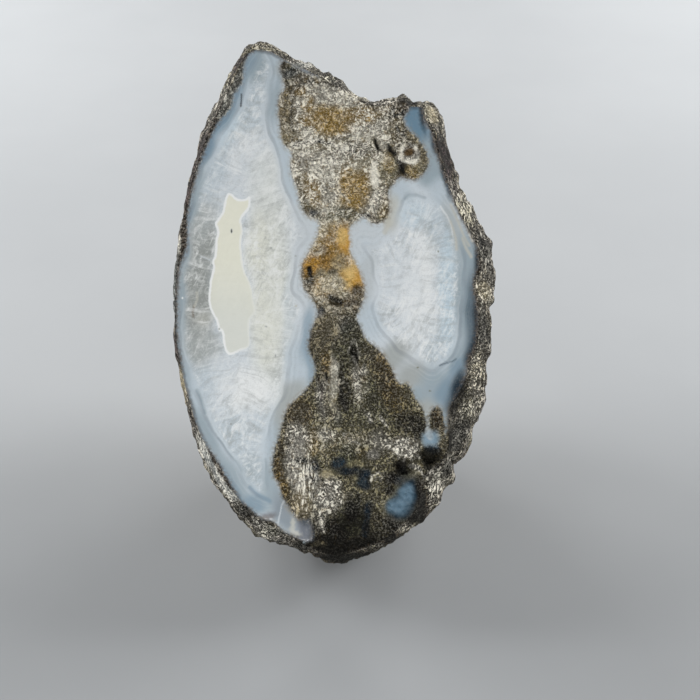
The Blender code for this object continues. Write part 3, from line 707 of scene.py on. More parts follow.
def segments(outline):
    """The ends of an outline's edges, in metres on the face."""
    points = np.array([on_face(point) for point in outline])
    return points, np.roll(points, -1, axis=0)


def rounded(outline, times=2):
    """An outline with its corners cut, which rounds them."""
    points = [Vector(point) for point in outline]
    for _ in range(times):
        following = points[1:] + points[:1]
        pairs = [(a.lerp(b, 0.25), a.lerp(b, 0.75)) for a, b in zip(points, following)]
        points = [point for pair in pairs for point in pair]
    return [tuple(point) for point in points]


def inside_depth(places, outline):
    """Signed distance of places to a closed outline, positive inside, and where along it they are."""
    starts, ends = segments(outline)
    lengths = np.linalg.norm(ends - starts, axis=1)
    before = np.concatenate(([0.0], np.cumsum(lengths)[:-1]))
    best = np.full(len(places), np.inf)
    along = np.zeros(len(places))
    inside = np.zeros(len(places), dtype=bool)
    for start, end, length, travelled in zip(starts, ends, lengths, before):
        edge = end - start
        share = np.clip((places - start) @ edge / max(length * length, 1e-18), 0.0, 1.0)
        far = np.linalg.norm(places - start - share[:, None] * edge, axis=1)
        closer = far < best
        best[closer] = far[closer]
        along[closer] = travelled + share[closer] * length
        crosses = (start[1] > places[:, 1]) != (end[1] > places[:, 1])
        if abs(edge[1]) > 1e-12:
            meeting = start[0] + (places[:, 1] - start[1]) * edge[0] / edge[1]
            inside ^= crosses & (places[:, 0] < meeting)
    return np.where(inside, best, -best), along


def line_distance(places, points):
    """Distance of places to an open line."""
    line = [np.array(on_face(point)) for point in points]
    best = np.full(len(places), np.inf)
    for start, end in zip(line, line[1:]):
        edge = end - start
        share = np.clip((places - start) @ edge / max(edge @ edge, 1e-18), 0.0, 1.0)
        best = np.minimum(best, np.linalg.norm(places - start - share[:, None] * edge, axis=1))
    return best


def face_points(rim_places):
    """Points of the polished face inside its rim, closer together where more is drawn."""
    rng = np.random.default_rng(MESH_SEED)

    def grid(spacing):
        """A jittered grid of points over the whole face."""
        across = np.arange(-GRID_REACH[0], GRID_REACH[0], spacing)
        up = np.arange(-GRID_REACH[1], GRID_REACH[1], spacing * GRID_ROW)
        places = np.array([(x + 0.5 * spacing * (row % 2), y) for row, y in enumerate(up) for x in across])
        return places + rng.uniform(-GRID_JITTER, GRID_JITTER, places.shape) * spacing

    rim_outline = [(x / OUTLINE_STEP + OUTLINE_MIDDLE[0], OUTLINE_MIDDLE[1] - y / OUTLINE_STEP)
                   for x, y in rim_places]
    lobes = [rounded(LEFT_LOBE, 1), rounded(RIGHT_LOBE, 1)]

    def lobe_depth(places):
        """Depth inside either lobe."""
        return np.maximum(inside_depth(places, lobes[0])[0], inside_depth(places, lobes[1])[0])

    coarse = grid(FACE_SPACING)
    coarse = coarse[lobe_depth(coarse) > COARSE_START]
    middle = grid(CRUST_SPACING)
    middle = middle[lobe_depth(middle) < MIDDLE_END]
    fine = grid(DRAWN_SPACING)
    fine = fine[drawn_distance(fine) < DRAWN_REACH]
    places = np.concatenate((coarse, middle))
    places = np.concatenate((places[drawn_distance(places) >= DRAWN_REACH], fine))
    return places[inside_depth(places, rim_outline)[0] > RIM_CLEARANCE]


def crust_relief(places, lobe, rim):
    """Depth of the brown crust below the polished plane."""
    depths = np.zeros(len(places))
    for index in np.nonzero(lobe < CRUST_START)[0]:
        place = Vector((places[index][0], places[index][1], 0.0))
        clump = CLUMP_SHARE * noise.noise(place / CLUMP_SIZE + SKIN_SHIFT)
        away = THREAD_SHARPNESS * abs(noise.noise(place / THREAD_SIZE - SKIN_SHIFT))
        grain = GRAIN_SHARE * (1.0 - 2.0 * abs(noise.noise(place / GRAIN_SIZE + SKIN_SHIFT)))
        rough = CRUST_LEVEL + clump + THREAD_SHARE * (1.0 - min(1.0, away)) + grain
        edge = smooth_step(-CRUST_START, CRUST_WALL, -lobe[index]) * smooth_step(0.0, CRUST_RIM, rim[index])
        depths[index] = max(0.0, rough) * CRUST_DEPTH * edge
    for centre, half_sizes, turn, depth in HOLLOWS:
        offset = places - np.array(on_face(centre))
        across = (offset[:, 0] * math.cos(turn) + offset[:, 1] * math.sin(turn)) / half_sizes[0]
        up = (offset[:, 1] * math.cos(turn) - offset[:, 0] * math.sin(turn)) / half_sizes[1]
        out = np.clip(1.0 - across ** 2 - up ** 2, 0.0, 1.0)
        depths = np.maximum(depths, depth * np.sqrt(out))
    return depths


def warped(places, size, amount):
    """Places pushed about by smooth noise, so that what is drawn on them gets a natural edge."""
    pushed = np.empty_like(places)
    for index, (x, y) in enumerate(places):
        spot = Vector((x, y, 0.0)) / size
        pushed[index, 0] = x + amount * noise.noise(spot + SKIN_SHIFT)
        pushed[index, 1] = y + amount * noise.noise(spot - SKIN_SHIFT)
    return pushed


def cover(places, oval):
    """How much of a soft oval covers each place, 0 to 1."""
    middle_x, middle_y, half_x, half_y = oval[:4]
    turn = math.radians(oval[4]) if len(oval) > 4 else 0.0
    offset = places - np.array(on_face((middle_x, middle_y)))
    across = (offset[:, 0] * math.cos(turn) - offset[:, 1] * math.sin(turn)) / (half_x * OUTLINE_STEP)
    up = (offset[:, 0] * math.sin(turn) + offset[:, 1] * math.cos(turn)) / (half_y * OUTLINE_STEP)
    share = np.clip((OVAL_END - np.hypot(across, up)) / OVAL_SOFTNESS, 0.0, 1.0)
    return share * share * (3.0 - 2.0 * share)


def linear(tint):
    """A tint as the eye sees it, 0 to 255, as linear light."""
    share = np.array(tint) / 255.0
    return np.where(share <= 0.04045, share / 12.92, ((share + 0.055) / 1.055) ** 2.4)


def painted(places, values, patches, fade=1.0):
    """Values at places after soft patches are laid over each other in order."""
    for what, strength, *ovals in patches:
        value = linear(TINTS[what]) if isinstance(what, str) else np.array(what)
        for oval in ovals:
            share = strength * cover(places, oval) * fade
            values = values + (value - values) * share[:, None]
    return values


def stroked(places, values, strokes):
    """Colours at places after thin lines are drawn over them."""
    for tint, half_width, strength, *lines in strokes:
        for points in lines:
            near = LINE_END - line_distance(places, points) / (half_width * OUTLINE_STEP)
            share = strength * np.clip(near, 0.0, 1.0)
            values = values + (linear(TINTS[tint]) - values) * share[:, None]
    return values


def drawn_distance(places):
    """Distance of places to what is drawn most finely on the agate."""
    far = np.abs(inside_depth(places, CREAM_CORE)[0])
    for _, half_width, _, *lines in AGATE_STROKES:
        for points in lines:
            far = np.minimum(far, line_distance(places, points) - half_width * OUTLINE_STEP)
    for _, _, *ovals in SPECKS:
        for middle_x, middle_y, half_x, half_y in ovals:
            offset = np.linalg.norm(places - np.array(on_face((middle_x, middle_y))), axis=1)
            far = np.minimum(far, offset - max(half_x, half_y) * OUTLINE_STEP)
    return far


def store(mesh, name, kind, values):
    """Keep values as a point attribute of the mesh."""
    layer = mesh.attributes.new(name, kind, "POINT")
    slot_name = {"FLOAT": "value", "FLOAT_VECTOR": "vector", "FLOAT_COLOR": "color"}[kind]
    layer.data.foreach_set(slot_name, np.ascontiguousarray(values, dtype=np.float32).ravel())


def ring_faces(pole):
    """Faces between the rings of the nodule, and from the last ring to the pole."""
    faces = []
    for low in range(0, pole, BEARING_COUNT):
        high = low + BEARING_COUNT
        for turn in range(BEARING_COUNT):
            beside = (turn + 1) % BEARING_COUNT
            far_side = (high + turn, high + beside) if high < pole else (pole,)
            faces.append((low + beside, low + turn, *far_side))
    return faces


def face_triangles(rim_places, inner, pole):
    """Triangles of the polished face between the first ring and the inner points, kept after the pole."""
    flat = [Vector(place) for place in rim_places] + [Vector(place) for place in inner]
    edges = [(turn, (turn + 1) % BEARING_COUNT) for turn in range(BEARING_COUNT)]
    _, _, triangles, sources, _, _ = geometry.delaunay_2d_cdt(flat, edges, [], 1, 1e-7)
    firsts = [originals[0] for originals in sources]
    number = [first if first < BEARING_COUNT else pole + 1 + first - BEARING_COUNT for first in firsts]
    return [tuple(number[made] for made in triangle) for triangle in triangles]


def stone_mesh():
    """The whole stone as one closed mesh in its own axes: points, faces, how many of them are natural
    skin, and how much painted shade each point gets from the hollow it lies in."""
    rim = bearing_table(FACE_OUTLINE)
    widest = bearing_table(WIDEST_OUTLINE)
    planes = break_planes(rim, widest)
    bearings = [wrapped_bearing(math.tau * turn / BEARING_COUNT) for turn in range(BEARING_COUNT)]
    reaches = [meridian(bearing, rim, widest) for bearing in bearings]
    skin = [with_skin(smooth_body(bearing, reach, ring / RING_COUNT), planes)
            for ring in range(RING_COUNT) for bearing, reach in zip(bearings, reaches)]
    skin.append(with_skin(smooth_body(0.0, reaches[0], 1.0), planes))
    verts, hollow_shades = (list(values) for values in zip(*skin))
    pole = len(verts) - 1

    back = ring_faces(pole)
    rim_places = [(vert.x, vert.y) for vert in verts[:BEARING_COUNT]]
    inner = face_points(rim_places)
    faces = back + face_triangles(rim_places, inner, pole)
    verts += [Vector((x, y, 0.0)) for x, y in inner]
    hollow_shades += [0.0] * len(inner)
    return verts, faces, len(back), np.array(hollow_shades)


def placed(verts):
    """The stone's points in the row frame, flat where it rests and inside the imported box."""
    turned = Matrix.Rotation(FACE_SLOPE, 3, "X")
    world = np.array([turned @ vert + FACE_MIDDLE for vert in verts])
    low, high = (np.array(corner) for corner in CAD_BOX)
    return np.clip(world, low, high)


def paint_skin(local, loose):
    """Tint, speckle and cover of the natural crust, whose patches fade out towards the back."""
    plain = np.ones((len(local), 1))
    shallow, deep = SKIN_PATCH_DEPTH
    ragged = SKIN_PATCH_RAGGED * (loose - local[:, :2])[:, 0]
    fade = np.clip((deep + local[:, 2] + ragged) / (deep - shallow), 0.0, 1.0)
    beside, back = (np.array(values) for values in (BESIDE_SPECKLE, BACK_SPECKLE))
    grains = back + fade[:, None] * (beside - back)
    tints = [(tint, 1.0, *ovals) for tint, _, *ovals in SKIN_PATCHES]
    speckles = [((*values, 0.0), 1.0, *ovals) for _, values, *ovals in SKIN_PATCHES]
    covers = [((1.0,), 1.0, *ovals) for _, _, *ovals in SKIN_PATCHES]
    return (painted(loose, plain * linear(TINTS["bark"]), tints),
            painted(loose, grains, speckles, fade),
            painted(loose, 0.0 * plain, covers, fade))


def paint(mesh, local, loose, face_verts):
    """Store the tints and the speckle that the materials read."""
    flat = local[:, :2]
    plain = np.ones((len(local), 1))
    agate = painted(loose, plain * linear(TINTS["mist"]), AGATE_PATCHES)
    agate = stroked(loose, agate, AGATE_STROKES)
    agate = painted(flat, agate, SPECKS)
    specked = painted(flat, 0.0 * plain, [((1.0,), 1.0, *ovals) for _, _, *ovals in SPECKS])
    rugged = warped(warped(flat, *CRUST_RUFFLE), *CRUST_WARP)
    crust = painted(rugged, plain * linear(TINTS["bark"]), CRUST_PATCHES)
    crust = stroked(warped(flat, *LINE_WARP), crust, CRUST_STROKES)
    speckle = painted(rugged, plain * np.array(PLAIN_SPECKLE),
                      [(values, 1.0, *ovals) for values, *ovals in SPECKLES])
    covered = plain.copy()
    behind = ~face_verts
    crust[behind], speckle[behind], covered[behind] = paint_skin(local[behind], loose[behind])
    store(mesh, "agate_tint", "FLOAT_COLOR", np.hstack((agate, specked)))
    store(mesh, "crust_tint", "FLOAT_COLOR", np.hstack((crust, covered)))
    store(mesh, "speckle", "FLOAT_COLOR", speckle)


def store_depths(mesh, flat, loose, lobe, inset):
    """Store how deep inside each part of the agate every point lies, and its place along the quartz."""
    left, left_along = inside_depth(loose, rounded(LEFT_QUARTZ))
    right, right_along = inside_depth(loose, rounded(RIGHT_QUARTZ))
    quartz = np.maximum(left, right)
    along = np.where(left > right, left_along, right_along + FAN_SHIFT)
    core = inside_depth(flat, rounded(CREAM_CORE, 1))[0]
    depths = {"lobe_mm": lobe, "quartz_mm": quartz, "core_mm": core, "inset_mm": inset}
    for name, values in depths.items():
        store(mesh, name, "FLOAT", values * 1000.0)
    fan = np.stack((along, quartz, np.zeros(len(along))), axis=1)
    store(mesh, "fan_mm", "FLOAT_VECTOR", fan * 1000.0)


def make_stone():
    """The visible stone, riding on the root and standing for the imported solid."""
    verts, faces, skin_faces, hollow_shades = stone_mesh()
    local = np.array([tuple(vert) for vert in verts])
    flat = local[:, :2]
    loose = warped(flat, *AGATE_WARP)
    lobe = np.maximum(inside_depth(flat, rounded(LEFT_LOBE))[0], inside_depth(flat, rounded(RIGHT_LOBE))[0])
    inset = inside_depth(flat, FACE_OUTLINE)[0]

    face_verts = np.arange(len(verts)) > BEARING_COUNT * RING_COUNT
    depths = np.zeros(len(verts))
    depths[face_verts] = crust_relief(flat[face_verts], lobe[face_verts], inset[face_verts])
    shaped = local.copy()
    shaped[:, 2] -= depths

    mesh = bpy.data.meshes.new("agate")
    mesh.from_pydata(placed([Vector(place) for place in shaped]), [], faces)
    mesh.validate()
    store(mesh, "stone_mm", "FLOAT_VECTOR", local * 1000.0)
    # relief holds painted shade: on the skin how deep in a pit each point lies, on the face how deep the
    # crust sinks
    store(mesh, "relief", "FLOAT", np.where(face_verts, depths / CRUST_SHADE_DEPTH, hollow_shades))
    store_depths(mesh, flat, loose, lobe, inset)
    paint(mesh, local, loose, face_verts)

    mesh.materials.append(face_material())
    mesh.materials.append(skin_material())
    slots = np.zeros(len(mesh.polygons), dtype=np.int32)
    slots[:skin_faces] = 1
    mesh.polygons.foreach_set("material_index", slots)
    mesh.shade_smooth()
    mesh.set_sharp_from_angle(angle=SHARP_ANGLE)
    stone = bpy.data.objects.new("agate", mesh)
    bpy.context.scene.collection.objects.link(stone)
    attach(stone, "root")
    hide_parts("banded_agate")


# Materials

# How far noise moves the edges of the quartz, the lobes, the dark line at the rim and the cream core,
# from side to side in millimetres, and how the bands along the wall wave and how fast they follow
QUARTZ_WAVE, LOBE_WAVE, RIM_WAVE, CORE_WAVE = 1.2, 1.1, 0.9, 0.55
BAND_WAVE, BAND_RATE = 0.6, 5.6

# How the noise of crystals and crust is drawn out along each axis
BLADE_STRETCH, FEATHER_STRETCH, FEATHER_TURN = (0.55, 0.085, 1.0), (1.0, 0.30, 1.0), 0.45
CRUST_STRETCH, SKIN_STRETCH = (1.0, 0.28, 1.0), (1.0, 0.36, 1.0)

# Noise of the crust's lumps, pale threads and dark cracks: shift, scale where it is even and where it is
# upright, detail, roughness, distortion
CRUST_LUMPS = ((0.0, 0.0, 0.0), 0.30, 0.42, 4.0, 0.95, 0.4)
CRUST_THREADS = ((11.0, 7.0, 3.0), 1.00, 1.20, 1.0, 0.6, 0.9)
CRUST_CRACKS = ((31.0, 17.0, 5.0), 0.80, 1.10, 1.0, 0.6, 0.9)

# Between which levels of that noise pale grains and threads, and dark gaps and cracks, come up
GRAIN_RISE, THREAD_WIDTH, THREAD_RISE = (0.15, 0.28), (0.135, 0.085), (0.18, 0.50)
GAP_RISE, CRACK_WIDTH, CRACK_RISE = (0.32, 0.46), (0.100, 0.05), (0.16, 0.42)

# Surfaces: how rough and how shiny each is, and how strongly and how high its fine bumps stand
CRUST_ROUGHNESS, CALM_POLISH, CRUST_SHINE = 0.78, 0.45, 0.08
AGATE_ROUGHNESS, AGATE_SMEARS, AGATE_SHINE, QUARTZ_IOR = 0.16, 0.14, 0.5, 1.54
SKIN_ROUGHNESS, SKIN_GLOSS, SKIN_SHINE = 0.90, 0.25, 0.10
FACE_BUMP, SKIN_BUMP = (0.55, 0.0009), (0.6, 0.0006)
PAPER_TONES = ((0.262, 0.272, 0.280, 1.0), (0.278, 0.288, 0.296, 1.0))
PAPER_ROUGHNESS = 0.9


class Graph:
    """Short names for the nodes that the materials use."""

    def __init__(self, name):
        self.material = bpy.data.materials.new(name)
        self.material.use_nodes = True
        self.tree = self.material.node_tree

    def put(self, value, socket):
        """Link an output, or set a plain value."""
        if isinstance(value, bpy.types.NodeSocket):
            self.tree.links.new(value, socket)
        elif value is not None:
            socket.default_value = value

    def shade(self, inputs):
        """Link or set the shader's own sockets, and hand over the material."""
        for name, value in inputs.items():
            self.put(value, self.tree.nodes["Principled BSDF"].inputs[name])
        return self.material

    def made(self, kind, inputs, **settings):
        """The outputs of a new node, given what goes into it by name or number."""
        node = self.tree.nodes.new("ShaderNode" + kind)
        for name, value in settings.items():
            setattr(node, name, value)
        for name, value in inputs.items():
            self.put(value, node.inputs[name])
        return node.outputs

    def attribute(self, name, output="Fac"):
        """A point attribute of the mesh."""
        return self.made("Attribute", {}, attribute_name=name)[output]

    def math(self, operation, first, second=None):
        """One operation on one or two numbers."""
        return self.made("Math", {0: first, 1: second}, operation=operation)[0]

    def add(self, first, second):
        """The sum of two numbers."""
        return self.math("ADD", first, second)

    def times(self, first, *others):
        """The product of some numbers."""
        for other in others:
            first = self.math("MULTIPLY", first, other)
        return first

    def step(self, value, low, high, to_low=0.0, to_high=1.0):
        """A smooth rise from to_low at low to to_high at high."""
        inputs = dict(enumerate((value, low, high, to_low, to_high)))
        return self.made("MapRange", inputs, interpolation_type="SMOOTHSTEP")[0]

    def mix(self, share, first, second):
        """Two colours mixed."""
        inputs = {0: share, 6: colour(first), 7: colour(second)}
        return self.made("Mix", inputs, data_type="RGBA")[2]

    def blend(self, share, first, second):
        """Two numbers mixed."""
        return self.made("Mix", {0: share, 2: first, 3: second})[0]

    def stretch(self, vector, scale):
        """A vector with each axis scaled."""
        return self.made("VectorMath", {0: vector, 1: scale}, operation="MULTIPLY")[0]

    def shifted(self, vector, offset):
        """A vector moved by a fixed amount."""
        return self.made("VectorMath", {0: vector, 1: offset}, operation="ADD")[0]

    def turned(self, vector, angle):
        """A vector turned in the plane of the face."""
        return self.made("VectorRotate", {"Vector": vector, "Angle": angle}, rotation_type="Z_AXIS")[0]

    def noise(self, vector, scale, detail=4.0, roughness=0.55, distortion=0.0):
        """Smooth noise from 0 to 1."""
        return self.made("TexNoise", {"Vector": vector, "Scale": scale, "Detail": detail,
                                      "Roughness": roughness, "Distortion": distortion})[0]

    def swing(self, vector, scale, detail=4.0, roughness=0.55):
        """Smooth noise from -0.5 to 0.5."""
        return self.add(self.noise(vector, scale, detail, roughness), -0.5)

    def split(self, value):
        """The three parts of a colour or vector."""
        return self.made("SeparateXYZ", {0: value})

    def bump(self, height, strength, distance):
        """A normal from a height."""
        return self.made("Bump", {"Height": height, "Strength": strength, "Distance": distance})[0]


def colour(value):
    """A tint's name as linear colour; anything else as it is."""
    if isinstance(value, str):
        return (*linear(TINTS[value]), 1.0)
    return value


def crust_look(g, place, tint, shade_by, calm):
    """Colour and height of natural crust: pale winding threads and dark cracks, upright where streaky, with
    painted shade where shade_by marks a hollow.
    """
    white, dark, streaky = g.split(g.attribute("speckle", "Color"))
    lively = g.math("SUBTRACT", 1.0, calm)

    def either(shift, even_scale, upright_scale, detail, roughness, distortion):
        """Smooth noise from -0.5 to 0.5, drawn out upright where the crust is streaky."""
        moved = g.shifted(place, shift)
        even = g.noise(moved, even_scale, detail, roughness, distortion)
        drawn_out = g.stretch(moved, CRUST_STRETCH)
        streaks = g.noise(drawn_out, upright_scale, detail, roughness, distortion * 0.5)
        return g.add(g.blend(streaky, even, streaks), -0.5)

    lumps = either(*CRUST_LUMPS)
    threads = g.math("ABSOLUTE", either(*CRUST_THREADS))
    cracks = g.math("ABSOLUTE", either(*CRUST_CRACKS))
    # painted shade: the crust is darker where shade_by marks a hollow and lighter where it marks a lump
    lumps = g.times(g.add(lumps, g.times(shade_by, -0.04)), 2.4, lively)
    heaped = g.add(lumps, g.times(g.swing(place, 0.20, 2.0, 0.6), g.times(lively, 0.75)))

    light = g.step(g.add(heaped, g.times(white, 0.40)), *GRAIN_RISE)
    thread = g.times(g.step(threads, *THREAD_WIDTH), g.step(g.add(heaped, white), *THREAD_RISE))
    light = g.times(g.math("MAXIMUM", light, thread), lively)
    dim = g.step(g.math("SUBTRACT", g.times(dark, 0.40), heaped), *GAP_RISE)
    open_to = g.math("SUBTRACT", dark, g.times(heaped, 0.45))
    crack = g.times(g.step(cracks, *CRACK_WIDTH), g.step(open_to, *CRACK_RISE))
    dim = g.times(g.math("MAXIMUM", dim, crack), lively)

    pale = g.mix(g.step(white, 0.12, 0.68, 0.95, 0.0), "chalk", tint)
    body = g.mix(g.times(light, 0.95), tint, pale)
    body = g.mix(g.times(dim, 0.97), body, g.mix(g.step(dark, 0.3, 0.7, 0.38, 0.03), "soot", tint))
    fine = g.noise(g.shifted(place, (5.0, 23.0, 9.0)), 1.9, 2.0, 0.9)
    body = g.mix(g.times(g.step(fine, 0.50, 0.62), g.times(lively, white, 0.50)), body, "chalk")
    body = g.mix(g.times(g.step(fine, 0.50, 0.38), g.times(lively, 0.50)), body, "soot")
    height = g.add(g.math("SUBTRACT", light, g.times(dim, 1.3)), g.times(lumps, 1.6))
    return body, height


def wall_bands(g, place, edge, ripple, body):
    """Bands between the crust and the quartz, and the dark and the pale line round the quartz."""
    wall = g.math("SINE", g.times(g.add(edge, g.times(ripple, BAND_WAVE)), BAND_RATE))
    banded = g.step(g.noise(place, 0.06, 2.0), 0.42, 0.60)
    outside = g.times(g.step(edge, 0.0, -0.5), g.step(edge, -4.5, -1.5), banded)
    body = g.mix(g.times(g.step(wall, 0.0, 1.0), outside, 0.20), body, "slate")
    body = g.mix(g.times(g.step(wall, 0.0, -1.0), outside, 0.14), body, "milk")

    patchy = g.step(g.noise(place, 0.09, 2.0), 0.38, 0.62, 0.15, 1.0)
    line = g.times(g.step(edge, -1.15, -0.45), g.step(edge, 0.10, -0.25))
    inner = g.times(g.step(edge, -0.05, 0.20), g.step(edge, 0.75, 0.30))
    body = g.mix(g.times(line, patchy, 0.26), body, "dusk")
    return g.mix(g.times(inner, patchy, 0.12), body, "snow")


def crystals(g, place, edge, body):
    """Crystals that grow inwards from the wall, with clouds and feathers between them."""
    inside = g.step(edge, 0.2, 1.6)
    lively = g.times(inside, g.step(g.noise(place, 0.05, 2.0), 0.40, 0.60, 0.45, 1.25))
    fan = g.stretch(g.attribute("fan_mm", "Vector"), BLADE_STRETCH)
    blades = g.noise(fan, 1.0, 4.0, 0.62, 0.6)
    cloud = g.noise(place, 0.30, 5.0, 0.75, 0.8)
    slanting = g.stretch(g.turned(place, FEATHER_TURN), FEATHER_STRETCH)
    feathers = g.noise(slanting, 0.80, 3.0, 0.70, 0.8)

    # each pattern, where it shows, and from which levels and how strongly it is pale and dull
    for pattern, where, high, pale, low, dull in (
            (blades, inside, (0.50, 0.68), 0.46, (0.50, 0.32), 0.34),
            (cloud, lively, (0.50, 0.64), 0.38, (0.50, 0.36), 0.28),
            (feathers, lively, (0.50, 0.66), 0.42, (0.48, 0.36), 0.20)):
        body = g.mix(g.times(g.step(pattern, *high), g.times(where, pale)), body, "snow")
        body = g.mix(g.times(g.step(pattern, *low), g.times(where, dull)), body, "ash")
    grain = g.noise(place, 1.0, 3.0, 1.0)
    body = g.mix(g.step(grain, 0.50, 0.64, 0.0, 0.16), body, "ash")
    return g.mix(g.times(g.step(grain, 0.50, 0.36), g.times(inside, 0.20)), body, "snow")


def cream_core(g, place, body):
    """The cream core and its jagged white border, strongest on its left and top."""
    across, up, _ = g.split(place)
    core = g.add(g.attribute("core_mm"), g.times(g.swing(place, 0.9, 3.0, 0.7), CORE_WAVE))
    cream = g.mix(g.step(up, -8.0, 14.0), "ivory", "cream")
    body = g.mix(g.times(g.step(core, -0.06, 0.10), 0.88), body, cream)
    left = g.step(across, -20.0, -26.0, 0.25, 1.0)
    top = g.step(up, 16.0, 22.0)
    faint = g.times(g.step(up, -6.0, 12.0, 0.45, 0.95), 0.14)
    strength = g.math("MAXIMUM", g.math("MAXIMUM", left, top), faint)
    border = g.times(g.step(core, -0.30, 0.02), g.step(core, 0.62, 0.22), strength)
    return g.mix(border, body, "snow")


def agate_look(g, place):
    """Colour of the two agate lobes."""
    tint = g.attribute("agate_tint", "Color")
    ripple = g.swing(place, 0.22, 3.0)
    edge = g.add(g.attribute("quartz_mm"), g.times(ripple, QUARTZ_WAVE))
    body = wall_bands(g, place, edge, ripple, tint)

    # a dark line where the agate meets the natural crust
    inset = g.add(g.attribute("inset_mm"), g.times(g.swing(place, 0.7, 3.0), RIM_WAVE))
    body = g.mix(g.step(inset, 1.1, 0.25, 0.0, 0.50), body, "navy")
    body = cream_core(g, place, crystals(g, place, edge, body))
    return g.mix(g.attribute("agate_tint", "Alpha"), body, tint)


def face_material():
    """The polished face: two milky agate lobes with a rough brown crust between them."""
    g = Graph("polished_face")
    place = g.attribute("stone_mm", "Vector")
    calm = g.attribute("speckle", "Alpha")
    whites = g.split(g.attribute("speckle", "Color"))[0]
    tint = g.attribute("crust_tint", "Color")
    warm = g.step(g.noise(place, 0.55, 4.0, 0.8), 0.50, 0.62, 0.0, 0.75)
    warm = g.times(warm, g.times(g.step(calm, 0.5, 0.1), g.step(whites, 0.28, 0.50, 0.08, 1.0)))
    warmed = g.mix(warm, tint, g.mix(0.55, tint, "ochre"))
    # painted shade in the crust's hollows, from the relief attribute
    crust, crust_height = crust_look(g, place, warmed, g.attribute("relief"), calm)

    # the crust's ragged edge, and a brown painted shade in the agate beside it
    lobe = g.add(g.attribute("lobe_mm"), g.times(g.swing(place, 0.8, 4.0, 0.65), LOBE_WAVE))
    in_lobe = g.step(lobe, -0.20, 0.70)
    edge_shade = g.times(g.step(lobe, 1.6, 0.2), g.step(g.noise(place, 1.2, 4.0, 0.7), 0.38, 0.60), 0.60)
    agate = g.mix(edge_shade, agate_look(g, place), g.mix(0.5, "umber", tint))

    rough = g.add(g.times(calm, -CALM_POLISH), CRUST_ROUGHNESS)
    polish = g.add(g.times(g.noise(place, 0.5, 3.0), AGATE_SMEARS), AGATE_ROUGHNESS)
    height = g.times(crust_height, g.math("SUBTRACT", 1.0, in_lobe))
    return g.shade({
        "Base Color": g.mix(in_lobe, crust, agate),
        "Roughness": g.blend(in_lobe, rough, polish),
        "Specular IOR Level": g.blend(in_lobe, CRUST_SHINE, AGATE_SHINE),
        "Normal": g.bump(height, *FACE_BUMP),
        "IOR": QUARTZ_IOR,
    })


def skin_material():
    """The natural crust: brown-grey and tan, pale on its lumps and dark in its pits, partly by painted
    light and shade that follow the skin's height.
    """
    g = Graph("natural_crust")
    place = g.attribute("stone_mm", "Vector")
    stretched = g.stretch(place, SKIN_STRETCH)
    broad = g.noise(place, 0.075, 4.0, 0.6, 0.6)
    middle = g.noise(stretched, 0.34, 6.0, 0.68, 0.5)
    fine = g.noise(stretched, 1.15, 6.0, 0.72)
    patches = g.noise(place, 0.14, 4.0, 0.6)

    body = g.mix(g.step(broad, 0.44, 0.56), "bark", "tan")
    body = g.mix(g.times(g.step(middle, 0.48, 0.58), 0.75), body, "olive")
    body = g.mix(g.times(g.step(middle, 0.48, 0.38), 0.80), body, "plum")
    body = g.mix(g.step(patches, 0.54, 0.62, 0.0, 0.7), body, "umber")
    body = g.mix(g.step(patches, 0.42, 0.34, 0.0, 0.6), body, "ash")
    body = g.mix(g.attribute("crust_tint", "Alpha"), body, g.attribute("crust_tint", "Color"))
    # painted shade in the skin's pits and painted light on its lumps, from the relief attribute
    shade_by = g.add(g.attribute("relief"), -0.3)
    body, height = crust_look(g, place, body, shade_by, g.attribute("speckle", "Alpha"))
    return g.shade({
        "Base Color": body,
        "Roughness": g.add(g.times(fine, -SKIN_GLOSS), SKIN_ROUGHNESS),
        "Specular IOR Level": SKIN_SHINE,
        "Normal": g.bump(height, *SKIN_BUMP),
    })


def floor_material():
    """Matt pale grey paper."""
    g = Graph("pale_floor")
    tone = g.noise(g.made("TexCoord", {})["Object"], 9.0, 4.0)
    paper = g.mix(g.step(tone, 0.3, 0.7), *PAPER_TONES)
    return g.shade({"Base Color": paper, "Roughness": PAPER_ROUGHNESS})


# Stage

FLOOR_SIZE = 6.0
CAMERA_DISTANCE = 0.34
FRAME_STEPS = 700.0
FRAME_MIDDLE = (350.0, 350.0)
SENSOR_WIDTH = 36.0
NEAREST_SEEN = 0.01

# Lights as place, size and power; the side and back ones stand on the right, with twins on the left
FRONT_LIGHT = ((0.0, -0.90, 0.18), 0.34, 6.6)
SIDE_LIGHT = ((0.70, 0.26, 0.36), 0.40, 8.6)
BACK_LIGHT = ((0.35, 0.55, 0.35), 0.25, 2.7)
LIGHT_TARGET = Vector((0.0, 0.0, 0.05))
ROOM_COLOUR, ROOM_STRENGTH = (0.965, 0.985, 1.0, 1.0), 0.05


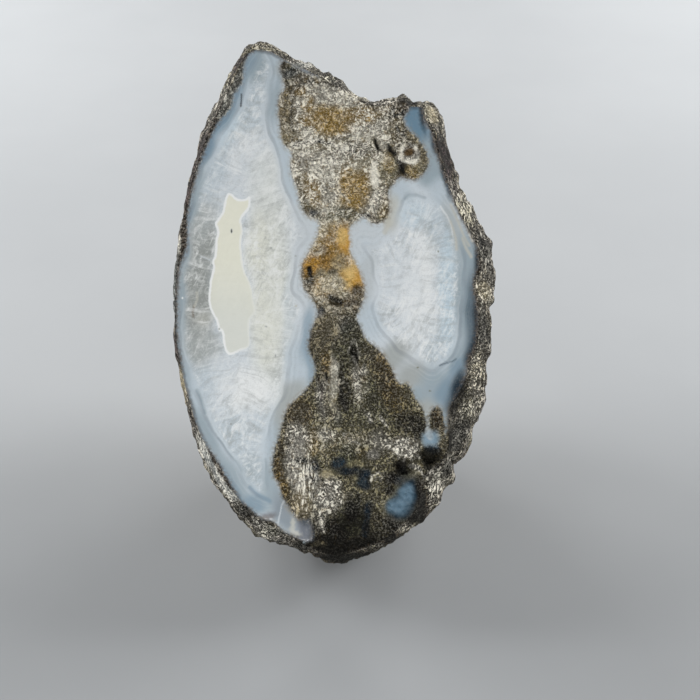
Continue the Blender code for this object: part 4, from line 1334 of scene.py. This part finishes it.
def make_floor():
    """A wide pale floor."""
    bm = bmesh.new()
    bmesh.ops.create_grid(bm, x_segments=2, y_segments=2, size=FLOOR_SIZE / 2.0)
    mesh = bpy.data.meshes.new("floor")
    bm.to_mesh(mesh)
    bm.free()
    mesh.materials.append(floor_material())
    floor = bpy.data.objects.new("floor", mesh)
    bpy.context.scene.collection.objects.link(floor)


def make_camera():
    """A camera square on to the polished face, as in the photograph."""
    data = bpy.data.cameras.new("camera")
    data.sensor_width = SENSOR_WIDTH
    data.lens = SENSOR_WIDTH * CAMERA_DISTANCE / (FRAME_STEPS * OUTLINE_STEP)
    data.clip_start = NEAREST_SEEN
    camera = bpy.data.objects.new("camera", data)
    aim = on_face(FRAME_MIDDLE)
    turned = Matrix.Rotation(FACE_SLOPE, 3, "X")
    camera.location = FACE_MIDDLE + turned @ Vector((aim.x, aim.y, CAMERA_DISTANCE))
    camera.rotation_euler = (FACE_SLOPE, 0.0, 0.0)
    bpy.context.scene.collection.objects.link(camera)
    bpy.context.scene.camera = camera


def make_light(name, light, side=1.0):
    """A square soft light that looks at the stone, mirrored to the left where side is -1."""
    (x, y, z), size, power = light
    place = Vector((side * x, y, z))
    data = bpy.data.lights.new(name, "AREA")
    data.shape = "SQUARE"
    data.size = size
    data.energy = power
    lamp = bpy.data.objects.new(name, data)
    lamp.location = place
    lamp.rotation_euler = (LIGHT_TARGET - place).to_track_quat("-Z", "Y").to_euler()
    bpy.context.scene.collection.objects.link(lamp)


def make_lights():
    """A low light in front, and a soft light to each side and behind that throw a shadow to each side."""
    world = bpy.data.worlds.new("studio")
    world.use_nodes = True
    background = world.node_tree.nodes["Background"]
    background.inputs["Color"].default_value = ROOM_COLOUR
    background.inputs["Strength"].default_value = ROOM_STRENGTH
    bpy.context.scene.world = world
    make_light("front", FRONT_LIGHT)
    for name, side in (("left", -1.0), ("right", 1.0)):
        make_light("side_" + name, SIDE_LIGHT, side)
        make_light("back_" + name, BACK_LIGHT, side)


make_camera()
make_lights()
make_floor()
make_stone()
bpy.context.scene.view_settings.view_transform = "Standard"
